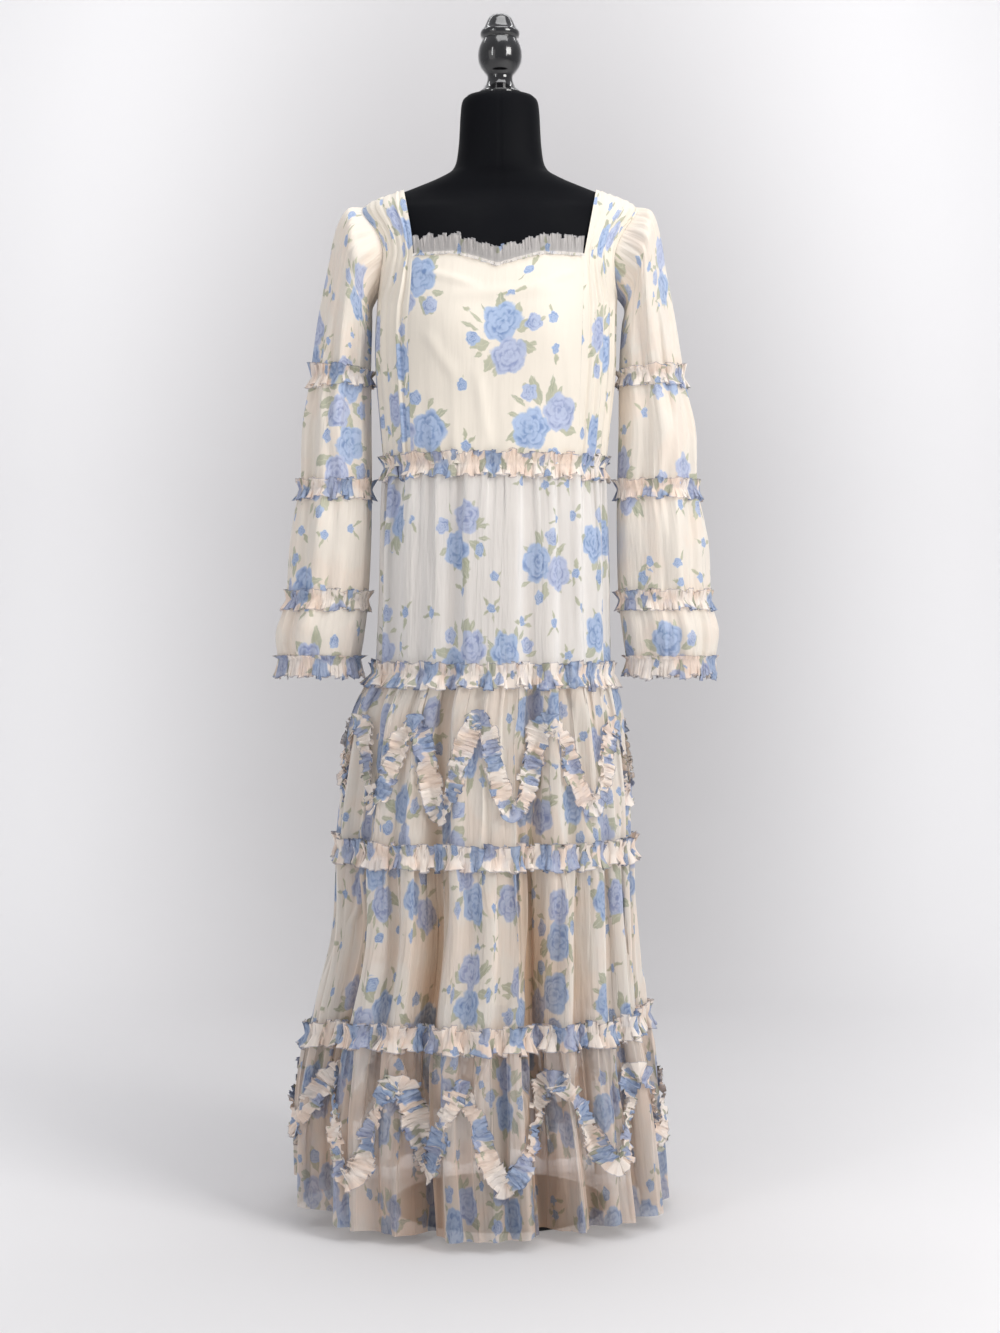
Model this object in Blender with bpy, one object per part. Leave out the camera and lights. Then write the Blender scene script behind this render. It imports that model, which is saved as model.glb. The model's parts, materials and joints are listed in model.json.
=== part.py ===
"""A tiered maxi dress on a limbless dress form, in metres, +Z up, the wearer facing -Y.

The origin is on the floor, under the form's pole. Angles round the body start at the front (-Y) and
grow towards +X, which is the wearer's left. Each garment piece is a thin wall between two grids of
points: the outer grid comes from a table of sections and a table of folds, and the inner grid is the
outer one moved in by the cloth's thickness.
"""
import math
from collections import namedtuple

import bmesh
import bpy
from mathutils import Vector

# Driving dimensions: heights above the floor.
HEM = 0.015
SKIRT_SEAMS = (0.745, 0.505, 0.270)
WAIST = 1.030
NECK_EDGE = 1.317
NECK_DIP = 0.018
NECK_DIP_HALF_WIDTH = 0.055
LINING_HEM = 0.300

# Cloth and clearances.
CLOTH = 0.0015
TRIM = 0.0012
SEAM_GAP = 0.0004
SHOULDER_EASE = 0.0025

# Ruffles: heights of the two frilled edges above and below the stitching, and how far they stand out.
FRILL_UP = 0.017
FRILL_DOWN = 0.020
FRILL_OUT = 0.007
WAVE_COLUMNS = 4

# Dress form and stand.
FORM_COLUMNS = 28
CAP_TOP = 1.5515
POLE_RADIUS = 0.014
BASE_RADIUS = 0.150
BASE_THICKNESS = 0.008

POWER = 2.15  # of the superellipse that every horizontal section follows

Section = namedtuple("Section", "height left right front back")

FORM_SECTIONS = [
    Section(0.700, 0.104, 0.104, 0.074, 0.080),
    Section(0.708, 0.122, 0.122, 0.088, 0.095),
    Section(0.760, 0.128, 0.128, 0.095, 0.102),
    Section(0.825, 0.130, 0.130, 0.096, 0.103),
    Section(0.890, 0.127, 0.127, 0.095, 0.098),
    Section(0.960, 0.119, 0.119, 0.091, 0.088),
    Section(1.035, 0.113, 0.113, 0.088, 0.081),
    Section(1.095, 0.119, 0.119, 0.092, 0.085),
    Section(1.150, 0.131, 0.131, 0.100, 0.091),
    Section(1.205, 0.143, 0.143, 0.108, 0.095),
    Section(1.255, 0.147, 0.147, 0.110, 0.098),
    Section(1.300, 0.153, 0.153, 0.103, 0.098),
    Section(1.335, 0.169, 0.169, 0.091, 0.095),
    Section(1.365, 0.184, 0.184, 0.077, 0.086),
    Section(1.386, 0.191, 0.191, 0.065, 0.072),
    Section(1.398, 0.180, 0.180, 0.056, 0.061),
    Section(1.410, 0.150, 0.150, 0.051, 0.055),
    Section(1.422, 0.118, 0.118, 0.050, 0.053),
    Section(1.434, 0.088, 0.088, 0.050, 0.052),
    Section(1.446, 0.067, 0.067, 0.052, 0.053),
    Section(1.470, 0.059, 0.059, 0.052, 0.053),
    Section(1.532, 0.0545, 0.0545, 0.052, 0.052),
    Section(1.543, 0.052, 0.052, 0.0495, 0.0495),
    Section(1.548, 0.047, 0.047, 0.0445, 0.0445),
]

BODICE_SECTIONS = [
    Section(1.030, 0.159, 0.144, 0.116, 0.106),
    Section(1.100, 0.166, 0.151, 0.121, 0.109),
    Section(1.163, 0.171, 0.157, 0.126, 0.112),
    Section(1.220, 0.171, 0.158, 0.127, 0.111),
    Section(1.270, 0.168, 0.160, 0.121, 0.108),
    Section(1.320, 0.173, 0.169, 0.106, 0.104),
    Section(1.360, 0.187, 0.186, 0.086, 0.095),
]

# The outline of the skirt over its fold crests.
SKIRT_SECTIONS = [
    Section(1.030, 0.159, 0.144, 0.118, 0.108),
    Section(0.920, 0.169, 0.151, 0.141, 0.138),
    Section(0.790, 0.174, 0.154, 0.155, 0.158),
    Section(0.745, 0.179, 0.158, 0.162, 0.167),
    Section(0.690, 0.206, 0.172, 0.174, 0.180),
    Section(0.590, 0.224, 0.186, 0.185, 0.190),
    Section(0.505, 0.234, 0.192, 0.196, 0.198),
    Section(0.390, 0.240, 0.200, 0.210, 0.208),
    Section(0.270, 0.268, 0.212, 0.228, 0.222),
    Section(0.150, 0.292, 0.236, 0.246, 0.232),
    Section(0.015, 0.296, 0.254, 0.262, 0.240),
]

LINING_SECTIONS = [
    Section(1.030, 0.1564, 0.1414, 0.1154, 0.1054),
    Section(0.990, 0.1510, 0.1370, 0.1130, 0.1080),
    Section(0.900, 0.149, 0.136, 0.112, 0.115),
    Section(0.700, 0.148, 0.134, 0.114, 0.119),
    Section(0.300, 0.154, 0.132, 0.116, 0.116),
]

# How much of a fold's full depth is there at each height.
FOLD_SHARES = [
    (1.030, 0.015), (0.920, 0.13), (0.745, 0.20), (0.690, 0.34), (0.505, 0.42),
    (0.390, 0.58), (0.270, 0.70), (0.150, 0.93), (0.015, 1.00),
]

# The troughs between the skirt's folds: where each lies at the hem and at the waist, in degrees, how
# deep it is at the hem and half its width in degrees.
Trough = namedtuple("Trough", "hem_angle waist_angle depth half_width")
TROUGHS = [
    Trough(-84, -76, 0.060, 7.5),
    Trough(-56, -54, 0.052, 6.5),
    Trough(-33, -38, 0.036, 5.0),
    Trough(-18, -21, 0.078, 6.0),
    Trough(-4, -7, 0.020, 4.0),
    Trough(7, 4, 0.024, 4.0),
    Trough(21, 16, 0.080, 6.0),
    Trough(37, 33, 0.046, 5.0),
    Trough(55, 53, 0.036, 6.0),
    Trough(78, 77, 0.054, 7.5),
    Trough(104, 103, 0.046, 8.0),
    Trough(131, 131, 0.064, 7.5),
    Trough(159, 160, 0.046, 8.0),
    Trough(188, 188, 0.074, 7.5),
    Trough(217, 217, 0.050, 8.0),
    Trough(246, 248, 0.062, 7.5),
]
SIDE_DROP = 0.034  # how far the lowest seam sags at the wearer's right side
SIDE_DROP_ANGLE = -98
SIDE_DROP_SPREAD = 32

# The two scalloped frills: where each turns round the skirt, in degrees, and how high it is there.
Turn = namedtuple("Turn", "angle height")
UPPER_TURNS = [
    Turn(-46, 0.572), Turn(-30, 0.680), Turn(-16, 0.560), Turn(-3, 0.686), Turn(9, 0.562),
    Turn(25, 0.682), Turn(44, 0.568), Turn(63, 0.676), Turn(82, 0.572), Turn(102, 0.680),
    Turn(121, 0.566), Turn(140, 0.684), Turn(160, 0.570), Turn(179, 0.678), Turn(198, 0.564),
    Turn(217, 0.682), Turn(237, 0.572), Turn(256, 0.676), Turn(275, 0.578), Turn(295, 0.680),
]
LOWER_TURNS = [
    Turn(-72, 0.118), Turn(-54, 0.216), Turn(-40, 0.084), Turn(-26, 0.210), Turn(-15, 0.098),
    Turn(-4, 0.208), Turn(6, 0.084), Turn(25, 0.212), Turn(44, 0.100), Turn(60, 0.212),
    Turn(79, 0.092), Turn(98, 0.204), Turn(117, 0.088), Turn(136, 0.208), Turn(154, 0.084),
    Turn(172, 0.210), Turn(191, 0.090), Turn(211, 0.204), Turn(231, 0.086), Turn(251, 0.206),
    Turn(270, 0.100), Turn(280, 0.170),
]

# The sleeves hang as tubes. Each ring has an outer and an inner point in the XZ plane, half a depth and
# how deep its gathers are.
SleeveRing = namedtuple("SleeveRing", "outer_x outer_z inner_x inner_z half_depth gather")
RIGHT_SLEEVE = [
    SleeveRing(0.2140, 1.3980, 0.1780, 1.2560, 0.066, 0.0020),
    SleeveRing(0.2270, 1.3660, 0.1785, 1.2340, 0.063, 0.0035),
    SleeveRing(0.2370, 1.3100, 0.1790, 1.2100, 0.058, 0.0035),
    SleeveRing(0.2480, 1.2450, 0.1795, 1.1860, 0.053, 0.0030),
    SleeveRing(0.2600, 1.1580, 0.1800, 1.1580, 0.047, 0.0018),
    SleeveRing(0.2710, 1.0850, 0.1800, 1.0850, 0.052, 0.0050),
    SleeveRing(0.2780, 1.0020, 0.1800, 1.0020, 0.048, 0.0020),
    SleeveRing(0.2890, 0.9300, 0.1805, 0.9300, 0.057, 0.0055),
    SleeveRing(0.2965, 0.8480, 0.1850, 0.8480, 0.053, 0.0022),
    SleeveRing(0.3090, 0.8050, 0.1900, 0.8050, 0.060, 0.0050),
    SleeveRing(0.3070, 0.7650, 0.1960, 0.7650, 0.052, 0.0020),
]
LEFT_SLEEVE = [
    SleeveRing(0.2130, 1.3960, 0.1740, 1.2560, 0.066, 0.0020),
    SleeveRing(0.2220, 1.3600, 0.1710, 1.2340, 0.063, 0.0035),
    SleeveRing(0.2310, 1.3000, 0.1690, 1.2100, 0.059, 0.0035),
    SleeveRing(0.2420, 1.2350, 0.1675, 1.1860, 0.055, 0.0030),
    SleeveRing(0.2540, 1.1580, 0.1665, 1.1580, 0.049, 0.0018),
    SleeveRing(0.2690, 1.0850, 0.1660, 1.0850, 0.055, 0.0050),
    SleeveRing(0.2760, 1.0020, 0.1650, 1.0020, 0.051, 0.0020),
    SleeveRing(0.2870, 0.9300, 0.1640, 0.9300, 0.060, 0.0055),
    SleeveRing(0.2920, 0.8480, 0.1670, 0.8480, 0.056, 0.0022),
    SleeveRing(0.3020, 0.8050, 0.1720, 0.8050, 0.063, 0.0050),
    SleeveRing(0.2990, 0.7650, 0.1780, 0.7650, 0.054, 0.0020),
]
# Index of the ring that ends each sleeve tier, the first tier starting at the armhole.
SLEEVE_TIER_ENDS = (4, 6, 8, 10)
SLEEVE_FRILL_UP = 0.014
SLEEVE_FRILL_DOWN = 0.016
SLEEVE_FRILL_OUT = 0.009
CUFF_FRILL_DOWN = 0.026
GATHERS = 5  # folds round a sleeve

# The armhole: heights of its points and how far round each lies from the side, in degrees.
ARMHOLE = [
    (1.270, 0), (1.282, 10), (1.296, 16), (1.312, 20.5), (1.329, 23), (1.346, 23.2),
    (1.361, 22), (1.374, 18.5), (1.384, 13.5), (1.391, 7), (1.394, 0),
]
SHOULDER_SHARES = (0.35, 0.7, 1.0)  # closer rows over the shoulder, as shares of the armhole's last step
SHOULDER_INNER = 1.4165  # the height at which the shoulder seam meets the neck opening
PRINCESS_TOP = 0.114  # half the distance between the princess seams, at the neck edge and the waist
PRINCESS_WAIST = 0.104
STRAP_TOP = 0.1336  # half the distance between the straps at the shoulder
BISECTIONS = 24  # halvings of the angle that find a point of the strap's edge
BACK_NECK = 1.372
PANEL_COLUMNS = 6
BACK_MIDDLE_COLUMNS = 3
BACK_SIDE_COLUMNS = 5

COLOURS = {
    "mesh_print": (0.86, 0.83, 0.79),
    "ruffle_mesh": (0.80, 0.79, 0.80),
    "lining_cloth": (0.84, 0.76, 0.66),
    "form_cloth": (0.010, 0.011, 0.016),
    "lacquer": (0.008, 0.008, 0.008),
    "stand_metal": (0.02, 0.02, 0.02),
}
ROUGHNESS = {"lacquer": 0.18, "stand_metal": 0.4}


def material(name):
    """The named material, made the first time it is asked for."""
    found = bpy.data.materials.get(name)
    if found:
        return found
    made = bpy.data.materials.new(name)
    made.use_nodes = True
    shader = made.node_tree.nodes["Principled BSDF"]
    shader.inputs["Base Color"].default_value = (*COLOURS[name], 1)
    shader.inputs["Roughness"].default_value = ROUGHNESS.get(name, 0.85)
    shader.inputs["Metallic"].default_value = 1.0 if name == "stand_metal" else 0.0
    return made


def smooth(rows, at):
    """A smooth value through (position, value) rows, in rising or falling order of position."""
    rows = sorted(rows)
    at = min(max(at, rows[0][0]), rows[-1][0])
    i = max(k for k in range(len(rows) - 1) if rows[k][0] <= at)
    (x0, y0), (x1, y1) = rows[i], rows[i + 1]
    step = x1 - x0

    def slope(k):
        before, after = rows[max(k - 1, 0)], rows[min(k + 1, len(rows) - 1)]
        return (after[1] - before[1]) / (after[0] - before[0])

    t = (at - x0) / step
    return (
        y0 * (1 + 2 * t) * (1 - t) ** 2
        + slope(i) * step * t * (1 - t) ** 2
        + y1 * t * t * (3 - 2 * t)
        + slope(i + 1) * step * t * t * (t - 1)
    )


def section_at(table, height):
    """The table's section at a height."""
    values = [smooth([(row.height, row[k]) for row in table], height) for k in range(1, 5)]
    return Section(height, *values)


def eased(value, power):
    """value raised to power, with its sign kept."""
    return math.copysign(abs(value) ** power, value)


def ring_point(section, angle, inward=0.0):
    """The point at an angle, in degrees, on a section's outline, moved in towards its middle."""
    turn = math.radians(angle)
    half_x, half_y = (section.left + section.right) / 2, (section.front + section.back) / 2
    centre_x, centre_y = (section.right - section.left) / 2, (section.back - section.front) / 2
    x = (half_x - inward) * eased(math.sin(turn), 2 / POWER)
    y = -(half_y - inward) * eased(math.cos(turn), 2 / POWER)
    return Vector((centre_x + x, centre_y + y, section.height))


def angle_of_x(section, x):
    """The angle from the front, in degrees, at which a section's outline reaches x."""
    half_x = (section.left + section.right) / 2
    centre_x = (section.right - section.left) / 2
    share = min(max((x - centre_x) / half_x, -1), 1)
    return math.degrees(math.asin(eased(share, POWER / 2)))


def bump(distance, spread):
    return math.exp(-((distance / spread) ** 2))


def turned(angle):
    """An angle brought between -180 and 180 degrees."""
    return (angle + 180) % 360 - 180


def normals(grid, round_it):
    """The outward normal at each point of a grid whose rows rise and whose columns run towards +X in front."""
    rows, columns = len(grid), len(grid[0])
    made = []
    for i in range(rows):
        line = []
        for j in range(columns):
            after = (j + 1) % columns if round_it else min(j + 1, columns - 1)
            before = (j - 1) % columns if round_it else max(j - 1, 0)
            across = grid[i][after] - grid[i][before]
            up = grid[min(i + 1, rows - 1)][j] - grid[max(i - 1, 0)][j]
            line.append(across.cross(up).normalized())
        made.append(line)
    return made


def moved(grid, along, distance):
    """The grid with each point moved along its normal."""
    return [
        [point + normal * distance for point, normal in zip(points, line)]
        for points, line in zip(grid, along)
    ]


def add_object(name, mesh_points, faces, finish):
    """An object from points and faces; points that no face uses are left out."""
    mesh = bpy.data.meshes.new(name)
    work = bmesh.new()
    corners = {k: work.verts.new(mesh_points[k]) for k in sorted({k for face in faces for k in face})}
    for face in faces:
        work.faces.new([corners[k] for k in face])
    bmesh.ops.recalc_face_normals(work, faces=work.faces)
    work.to_mesh(mesh)
    work.free()
    mesh.shade_smooth()
    mesh.set_sharp_from_angle(angle=math.radians(50))
    mesh.materials.append(material(finish))
    made = bpy.data.objects.new(name, mesh)
    bpy.context.scene.collection.objects.link(made)
    return made


def halves(points, quad):
    """A cell's two triangles, cut along its shorter diagonal. Both faces of a wall are cut the same way."""
    a, b, c, d = quad
    if (points[a] - points[c]).length < (points[b] - points[d]).length:
        return [a, b, c], [a, c, d]
    return [a, b, d], [b, c, d]


def add_wall(name, outer, inner, round_it, finish, kept=None):
    """A closed wall between two grids of the same size. A round one joins its last column to its first.

    kept(i, j) says whether the cell above and after point (i, j) is part of the wall; all are by default.
    """
    rows, columns = len(outer), len(outer[0])
    points = [point for grid in (outer, inner) for line in grid for point in line]
    inside = rows * columns

    def corner(i, j):
        return i * columns + j % columns

    def is_cell(i, j):
        if round_it:
            j %= columns
        elif not 0 <= j < columns - 1:
            return False
        return 0 <= i < rows - 1 and (kept is None or kept(i, j))

    faces = []
    for j in range(columns):
        for i in range(rows - 1):
            if not is_cell(i, j):
                continue
            quad = [corner(i, j), corner(i, j + 1), corner(i + 1, j + 1), corner(i + 1, j)]
            for half in halves(points, quad):
                faces.append(half)
                faces.append([inside + k for k in reversed(half)])
            beside = [(i - 1, j), (i, j + 1), (i + 1, j), (i, j - 1)]
            for side, place in enumerate(beside):
                if not is_cell(*place):
                    start, end = quad[side], quad[(side + 1) % 4]
                    faces.append([end, start, inside + start, inside + end])
    return add_object(name, points, faces, finish)


def add_cloth(name, outer, round_it, finish, thickness=CLOTH):
    """A wall whose outer face is the grid."""
    return add_wall(name, outer, moved(outer, normals(outer, round_it), -thickness), round_it, finish)


def add_stack(name, rings, finish):
    """A filled solid through closed rings, from the lowest to the highest, with flat ends."""
    count = len(rings[0])
    points = [point for ring in rings for point in ring]
    faces = [list(reversed(range(count))), [len(points) - count + k for k in range(count)]]
    for i in range(len(rings) - 1):
        for j in range(count):
            k = (j + 1) % count
            faces.append([i * count + j, i * count + k, (i + 1) * count + k, (i + 1) * count + j])
    return add_object(name, points, faces, finish)


def turned_rings(profile, sides):
    """Rings round the Z axis from (height, radius) rows."""
    return [
        [
            Vector((radius * math.sin(math.tau * k / sides), -radius * math.cos(math.tau * k / sides), height))
            for k in range(sides)
        ]
        for height, radius in profile
    ]


# Dress form

BUST_X, BUST_Z, BUST_SPREAD_X, BUST_SPREAD_Z = 0.072, 1.212, 0.050, 0.055
BUST_DEPTH = 0.013


def with_bust(point, depth):
    """The point moved forward by the general roundness of the bust, on the front only."""
    if point.y >= 0:
        return point
    forward = sum(
        bump(point.x - side * BUST_X, BUST_SPREAD_X) * bump(point.z - BUST_Z, BUST_SPREAD_Z)
        for side in (-1, 1)
    )
    front_share = min(-point.y / 0.06, 1)
    return point + Vector((0, -depth * forward * front_share, 0))


def form_point(angle, height):
    return with_bust(ring_point(section_at(FORM_SECTIONS, height), angle), BUST_DEPTH)


def build_form():
    step = 360 / FORM_COLUMNS
    rings = [
        [form_point(k * step, section.height) for k in range(FORM_COLUMNS)]
        for section in FORM_SECTIONS
    ]
    add_stack("form_torso", rings, "form_cloth")
    finial = [
        (CAP_TOP - 0.003, 0.0325), (CAP_TOP + 0.002, 0.0325), (CAP_TOP + 0.008, 0.0260),
        (CAP_TOP + 0.020, 0.0180), (CAP_TOP + 0.027, 0.0180), (CAP_TOP + 0.038, 0.0265),
        (CAP_TOP + 0.053, 0.0310), (CAP_TOP + 0.067, 0.0295), (CAP_TOP + 0.079, 0.0240),
        (CAP_TOP + 0.083, 0.0275), (CAP_TOP + 0.089, 0.0270), (CAP_TOP + 0.097, 0.0210),
        (CAP_TOP + 0.107, 0.0165), (CAP_TOP + 0.1135, 0.0050),
    ]
    add_stack("form_finial", turned_rings(finial, 18), "lacquer")
    bottom = FORM_SECTIONS[0].height
    plate = [(bottom - 0.0143, 0.045), (bottom - 0.0123, 0.048), (bottom - 0.0003, 0.048)]
    add_stack("form_underplate", turned_rings(plate, 20), "lacquer")
    pole = [(BASE_THICKNESS + 0.0303, POLE_RADIUS), (bottom - 0.0146, POLE_RADIUS)]
    add_stack("stand_pole", turned_rings(pole, 16), "stand_metal")
    socket = [
        (BASE_THICKNESS + 0.0003, 0.030), (BASE_THICKNESS + 0.006, 0.030),
        (BASE_THICKNESS + 0.012, 0.022), (BASE_THICKNESS + 0.030, 0.020),
    ]
    add_stack("stand_socket", turned_rings(socket, 20), "stand_metal")
    base = [
        (0.0, BASE_RADIUS - 0.002), (0.002, BASE_RADIUS), (BASE_THICKNESS - 0.003, BASE_RADIUS),
        (BASE_THICKNESS, BASE_RADIUS - 0.004),
    ]
    add_stack("stand_base", turned_rings(base, 36), "stand_metal")


# Bodice

BODICE_BUST_DEPTH = 0.010
ON_FORM_FROM, ON_FORM_AT = 1.300, 1.372


def bodice_point(angle, height):
    """The bodice's inner face: the bodice's own sections below, lying on the form at the shoulders."""
    low = min(height, BODICE_SECTIONS[-1].height)
    loose = with_bust(ring_point(section_at(BODICE_SECTIONS, low), angle), BODICE_BUST_DEPTH)
    loose.z = height
    share = min(max((height - ON_FORM_FROM) / (ON_FORM_AT - ON_FORM_FROM), 0), 1)
    share = share * share * (3 - 2 * share)
    if share == 0:
        return loose
    near, step = form_point(angle, height), 0.002
    across = form_point(angle + 2, height) - form_point(angle - 2, height)
    up = form_point(angle, height + step) - form_point(angle, height - step)
    resting = near + across.cross(up).normalized() * SHOULDER_EASE
    return loose.lerp(resting, share)


def bodice_normal(angle, height):
    across = bodice_point(angle + 2, height) - bodice_point(angle - 2, height)
    up = bodice_point(angle, height + 0.002) - bodice_point(angle, height - 0.002)
    return across.cross(up).normalized()


def princess_angle(height):
    """How far the princess seam lies from the front; above the neck edge it is the strap's inner edge."""
    if height <= NECK_EDGE:
        share = (height - WAIST) / (NECK_EDGE - WAIST)
        x = PRINCESS_WAIST + (PRINCESS_TOP - PRINCESS_WAIST) * share
        return angle_of_x(section_at(BODICE_SECTIONS, height), x)
    rise = (height - NECK_EDGE) / (SHOULDER_INNER - NECK_EDGE)
    x = PRINCESS_TOP + (STRAP_TOP - PRINCESS_TOP) * rise
    low, high = 0.0, 90.0
    for _ in range(BISECTIONS):
        middle = (low + high) / 2
        if bodice_point(middle, height).x < x:
            low = middle
        else:
            high = middle
    return low


def neck_edge(x):
    """The height of the front neck edge, with its shallow point in the middle."""
    return NECK_EDGE - NECK_DIP * max(0, 1 - abs(x) / NECK_DIP_HALF_WIDTH) ** 1.2


def gap_angle(angle, height):
    """Half a seam gap, in degrees round the bodice."""
    step = bodice_point(angle + 1, height) - bodice_point(angle - 1, height)
    return SEAM_GAP / step.length


def side_edge(back):
    """The side seam and armhole as (angle from the side, height) rows, from the waist to the shoulder."""
    away = 1 if back else -1
    rows = [(0, height) for height in (WAIST + SEAM_GAP / 2, 1.080, 1.128, 1.176, 1.224)]
    rows += [(away * angle, height) for height, angle in ARMHOLE[:-1]]
    (start, start_angle), (end, end_angle) = ARMHOLE[-2:]
    for share in SHOULDER_SHARES:
        rows.append((away * (start_angle + (end_angle - start_angle) * share), start + (end - start) * share))
    return rows


def lengths_along(edge):
    """How far along an edge each of its rows lies, from 0 to 1."""
    run = [0]
    for (angle, height), (next_angle, next_height) in zip(edge, edge[1:]):
        run.append(run[-1] + math.hypot(0.0028 * (next_angle - angle), next_height - height))
    return [length / run[-1] for length in run]


def add_panel(name, places, kept=None):
    """A bodice piece through rows of (angle, height) places, in rising order of angle."""
    inner = [[bodice_point(*place) for place in row] for row in places]
    outer = [
        [bodice_point(*place) + bodice_normal(*place) * CLOTH for place in row]
        for row in places
    ]
    add_wall(name, outer, inner, False, "mesh_print", kept)


def build_front_panel():
    columns = 9
    low = WAIST + SEAM_GAP / 2
    heights = [height for height in seam_heights(False) if height < NECK_EDGE - 0.008] + [NECK_EDGE]
    places = []
    for seam_level in heights:
        share = (seam_level - low) / (NECK_EDGE - low)
        row = []
        for j in range(columns):
            across = 2 * j / (columns - 1) - 1
            height = low + (neck_edge(across * PRINCESS_TOP) - low) * share
            edge = princess_angle(height)
            edge -= gap_angle(edge, height)
            row.append((edge * across, height))
        places.append(row)
    add_panel("bodice_front", places)


def seam_heights(back):
    """The height of each row of a side panel at the strap's inner edge."""
    low = WAIST + SEAM_GAP / 2
    return [low + (SHOULDER_INNER - low) * along for along in lengths_along(side_edge(back))]


def side_rows(back, columns, gap_inside):
    """Rows of (angle, height) places from the strap's inner edge out to the side seam and armhole."""
    rows = []
    for (away, height), inner_height in zip(side_edge(back), seam_heights(back)):
        at_side = 90 - abs(away)
        at_side -= gap_angle(at_side, height)
        inner = princess_angle(inner_height)
        if gap_inside:
            inner += gap_angle(inner, inner_height)
        inner = min(inner, at_side)
        row = []
        for j in range(columns):
            t = j / (columns - 1)
            row.append((inner + (at_side - inner) * t, inner_height + (height - inner_height) * t))
        rows.append(row)
    return rows


def build_side_front(word, side):
    """A side front with its strap, whose top edge is the shoulder seam."""
    rows = side_rows(False, PANEL_COLUMNS, True)
    places = [[(side * angle, height) for angle, height in row] for row in rows]
    add_panel(f"bodice_side_front_{word}", places if side > 0 else [row[::-1] for row in places])


def back_middle_row(inner_angle, height, side):
    """A row's places from the middle of the back to just short of the strap's inner edge."""
    inner_x = abs(bodice_point(inner_angle, height).x)
    outline = Section(height, -bodice_point(-90, height).x, bodice_point(90, height).x, 0, 0)
    row = []
    for k in range(BACK_MIDDLE_COLUMNS):
        x = side * inner_x * k / BACK_MIDDLE_COLUMNS
        row.append((180 - angle_of_x(outline, x), height))
    return row


def build_back():
    """The back in one piece between the side seams, with a plain square neck between its straps."""
    places = []
    for row in side_rows(True, BACK_SIDE_COLUMNS, False):
        left = [(180 - angle, height) for angle, height in row]
        right = [(180 + angle, height) for angle, height in row]
        left_middle = back_middle_row(*row[0], 1)
        right_middle = back_middle_row(*row[0], -1)
        places.append(left[::-1] + left_middle[:0:-1] + right_middle + right)
    neck_row = max(i for i, height in enumerate(seam_heights(True)) if height < BACK_NECK)
    columns = len(places[0])

    def kept(i, j):
        return i < neck_row or j < BACK_SIDE_COLUMNS - 1 or j > columns - 1 - BACK_SIDE_COLUMNS

    add_panel("bodice_back", places, kept)


def build_neck_ruffle():
    """The frill that is sewn to the front neck edge and stands up from it."""
    columns, waves = 21, 5
    rows = []
    for rise in (-0.005, 0.006, 0.018):
        line = []
        for j in range(columns):
            across = 2 * j / (columns - 1) - 1
            edge = neck_edge(across * PRINCESS_TOP)
            place = princess_angle(edge) * across * 0.965, edge - 0.005
            foot = bodice_point(*place) + bodice_normal(*place) * (CLOTH + 0.0004)
            out = Vector((foot.x, foot.y, 0)).normalized()
            wave = 0.004 * max(rise, 0) / 0.018 * math.sin(math.tau * waves * j / (columns - 1))
            line.append(foot + out * wave + Vector((0, 0, rise + 0.005)))
        rows.append(line)
    add_wall("neck_ruffle", moved(rows, normals(rows, False), TRIM), rows, False, "ruffle_mesh")


# Skirt

def trough_angles(height):
    """Where the troughs lie at a height, in rising order."""
    share = (height - HEM) / (WAIST - HEM)
    return [t.hem_angle + (t.waist_angle - t.hem_angle) * share for t in TROUGHS]


def columns_at(height):
    """Four column angles for each trough: its two shoulders, its bottom, and the crest after it."""
    angles = trough_angles(height)
    count = len(angles)
    made = []
    for k, (trough, angle) in enumerate(zip(TROUGHS, angles)):
        before = angles[k - 1] - (360 if k == 0 else 0)
        after = angles[(k + 1) % count] + (360 if k == count - 1 else 0)
        left = min(trough.half_width, 0.3 * (angle - before))
        right = min(trough.half_width, 0.3 * (after - angle))
        made += [angle - left, angle, angle + right, (angle + after) / 2]
    return made


def fold_depth(angle, height):
    """How far the cloth lies in from its crests, at an angle and a height."""
    depth = sum(
        trough.depth * bump(turned(angle - middle), trough.half_width)
        for trough, middle in zip(TROUGHS, trough_angles(height))
    )
    return depth * smooth(FOLD_SHARES, height)


def seam_height(index, angle):
    """The height of a skirt seam at an angle: 0 is the waist, 4 the hem."""
    if index == 0:
        return WAIST
    if index == 4:
        return HEM + 0.003 * (1 - math.cos(math.radians(3 * angle + 40)))
    sag = SIDE_DROP * bump(turned(angle - SIDE_DROP_ANGLE), SIDE_DROP_SPREAD) if index == 3 else 0
    return SKIRT_SEAMS[index - 1] - sag


def skirt_point(column, height):
    """The skirt's outer face on a column, at a height."""
    angle = columns_at(height)[column]
    return ring_point(section_at(SKIRT_SECTIONS, height), angle, fold_depth(angle, height))


SKIRT_COLUMNS = 4 * len(TROUGHS)
TIER_ROWS = (3, 3, 3, 4)


def tier_grid(index):
    """The outer points of a tier, from its lower edge to its upper one."""
    rows = TIER_ROWS[index]
    grid = []
    for i in range(rows):
        line = []
        for column in range(SKIRT_COLUMNS):
            angle = columns_at(SKIRT_SEAMS[1])[column]
            low = seam_height(index + 1, angle) + SEAM_GAP / 2
            high = seam_height(index, angle) - SEAM_GAP / 2
            line.append(skirt_point(column, low + (high - low) * i / (rows - 1)))
        grid.append(line)
    return grid


def on_tier(grid, column, height):
    """The point of a tier's outer face on a column, at a height, carried on straight past its edges."""
    rows = [line[column] for line in grid]
    k = 0
    while k < len(rows) - 2 and rows[k + 1].z < height:
        k += 1
    share = (height - rows[k].z) / (rows[k + 1].z - rows[k].z)
    return rows[k].lerp(rows[k + 1], share)


def frill_wave(column, phase):
    """0 at a wave's foot and 1 at its crest."""
    return 0.5 - 0.5 * math.cos(math.tau * (column + phase) / WAVE_COLUMNS)


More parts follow.
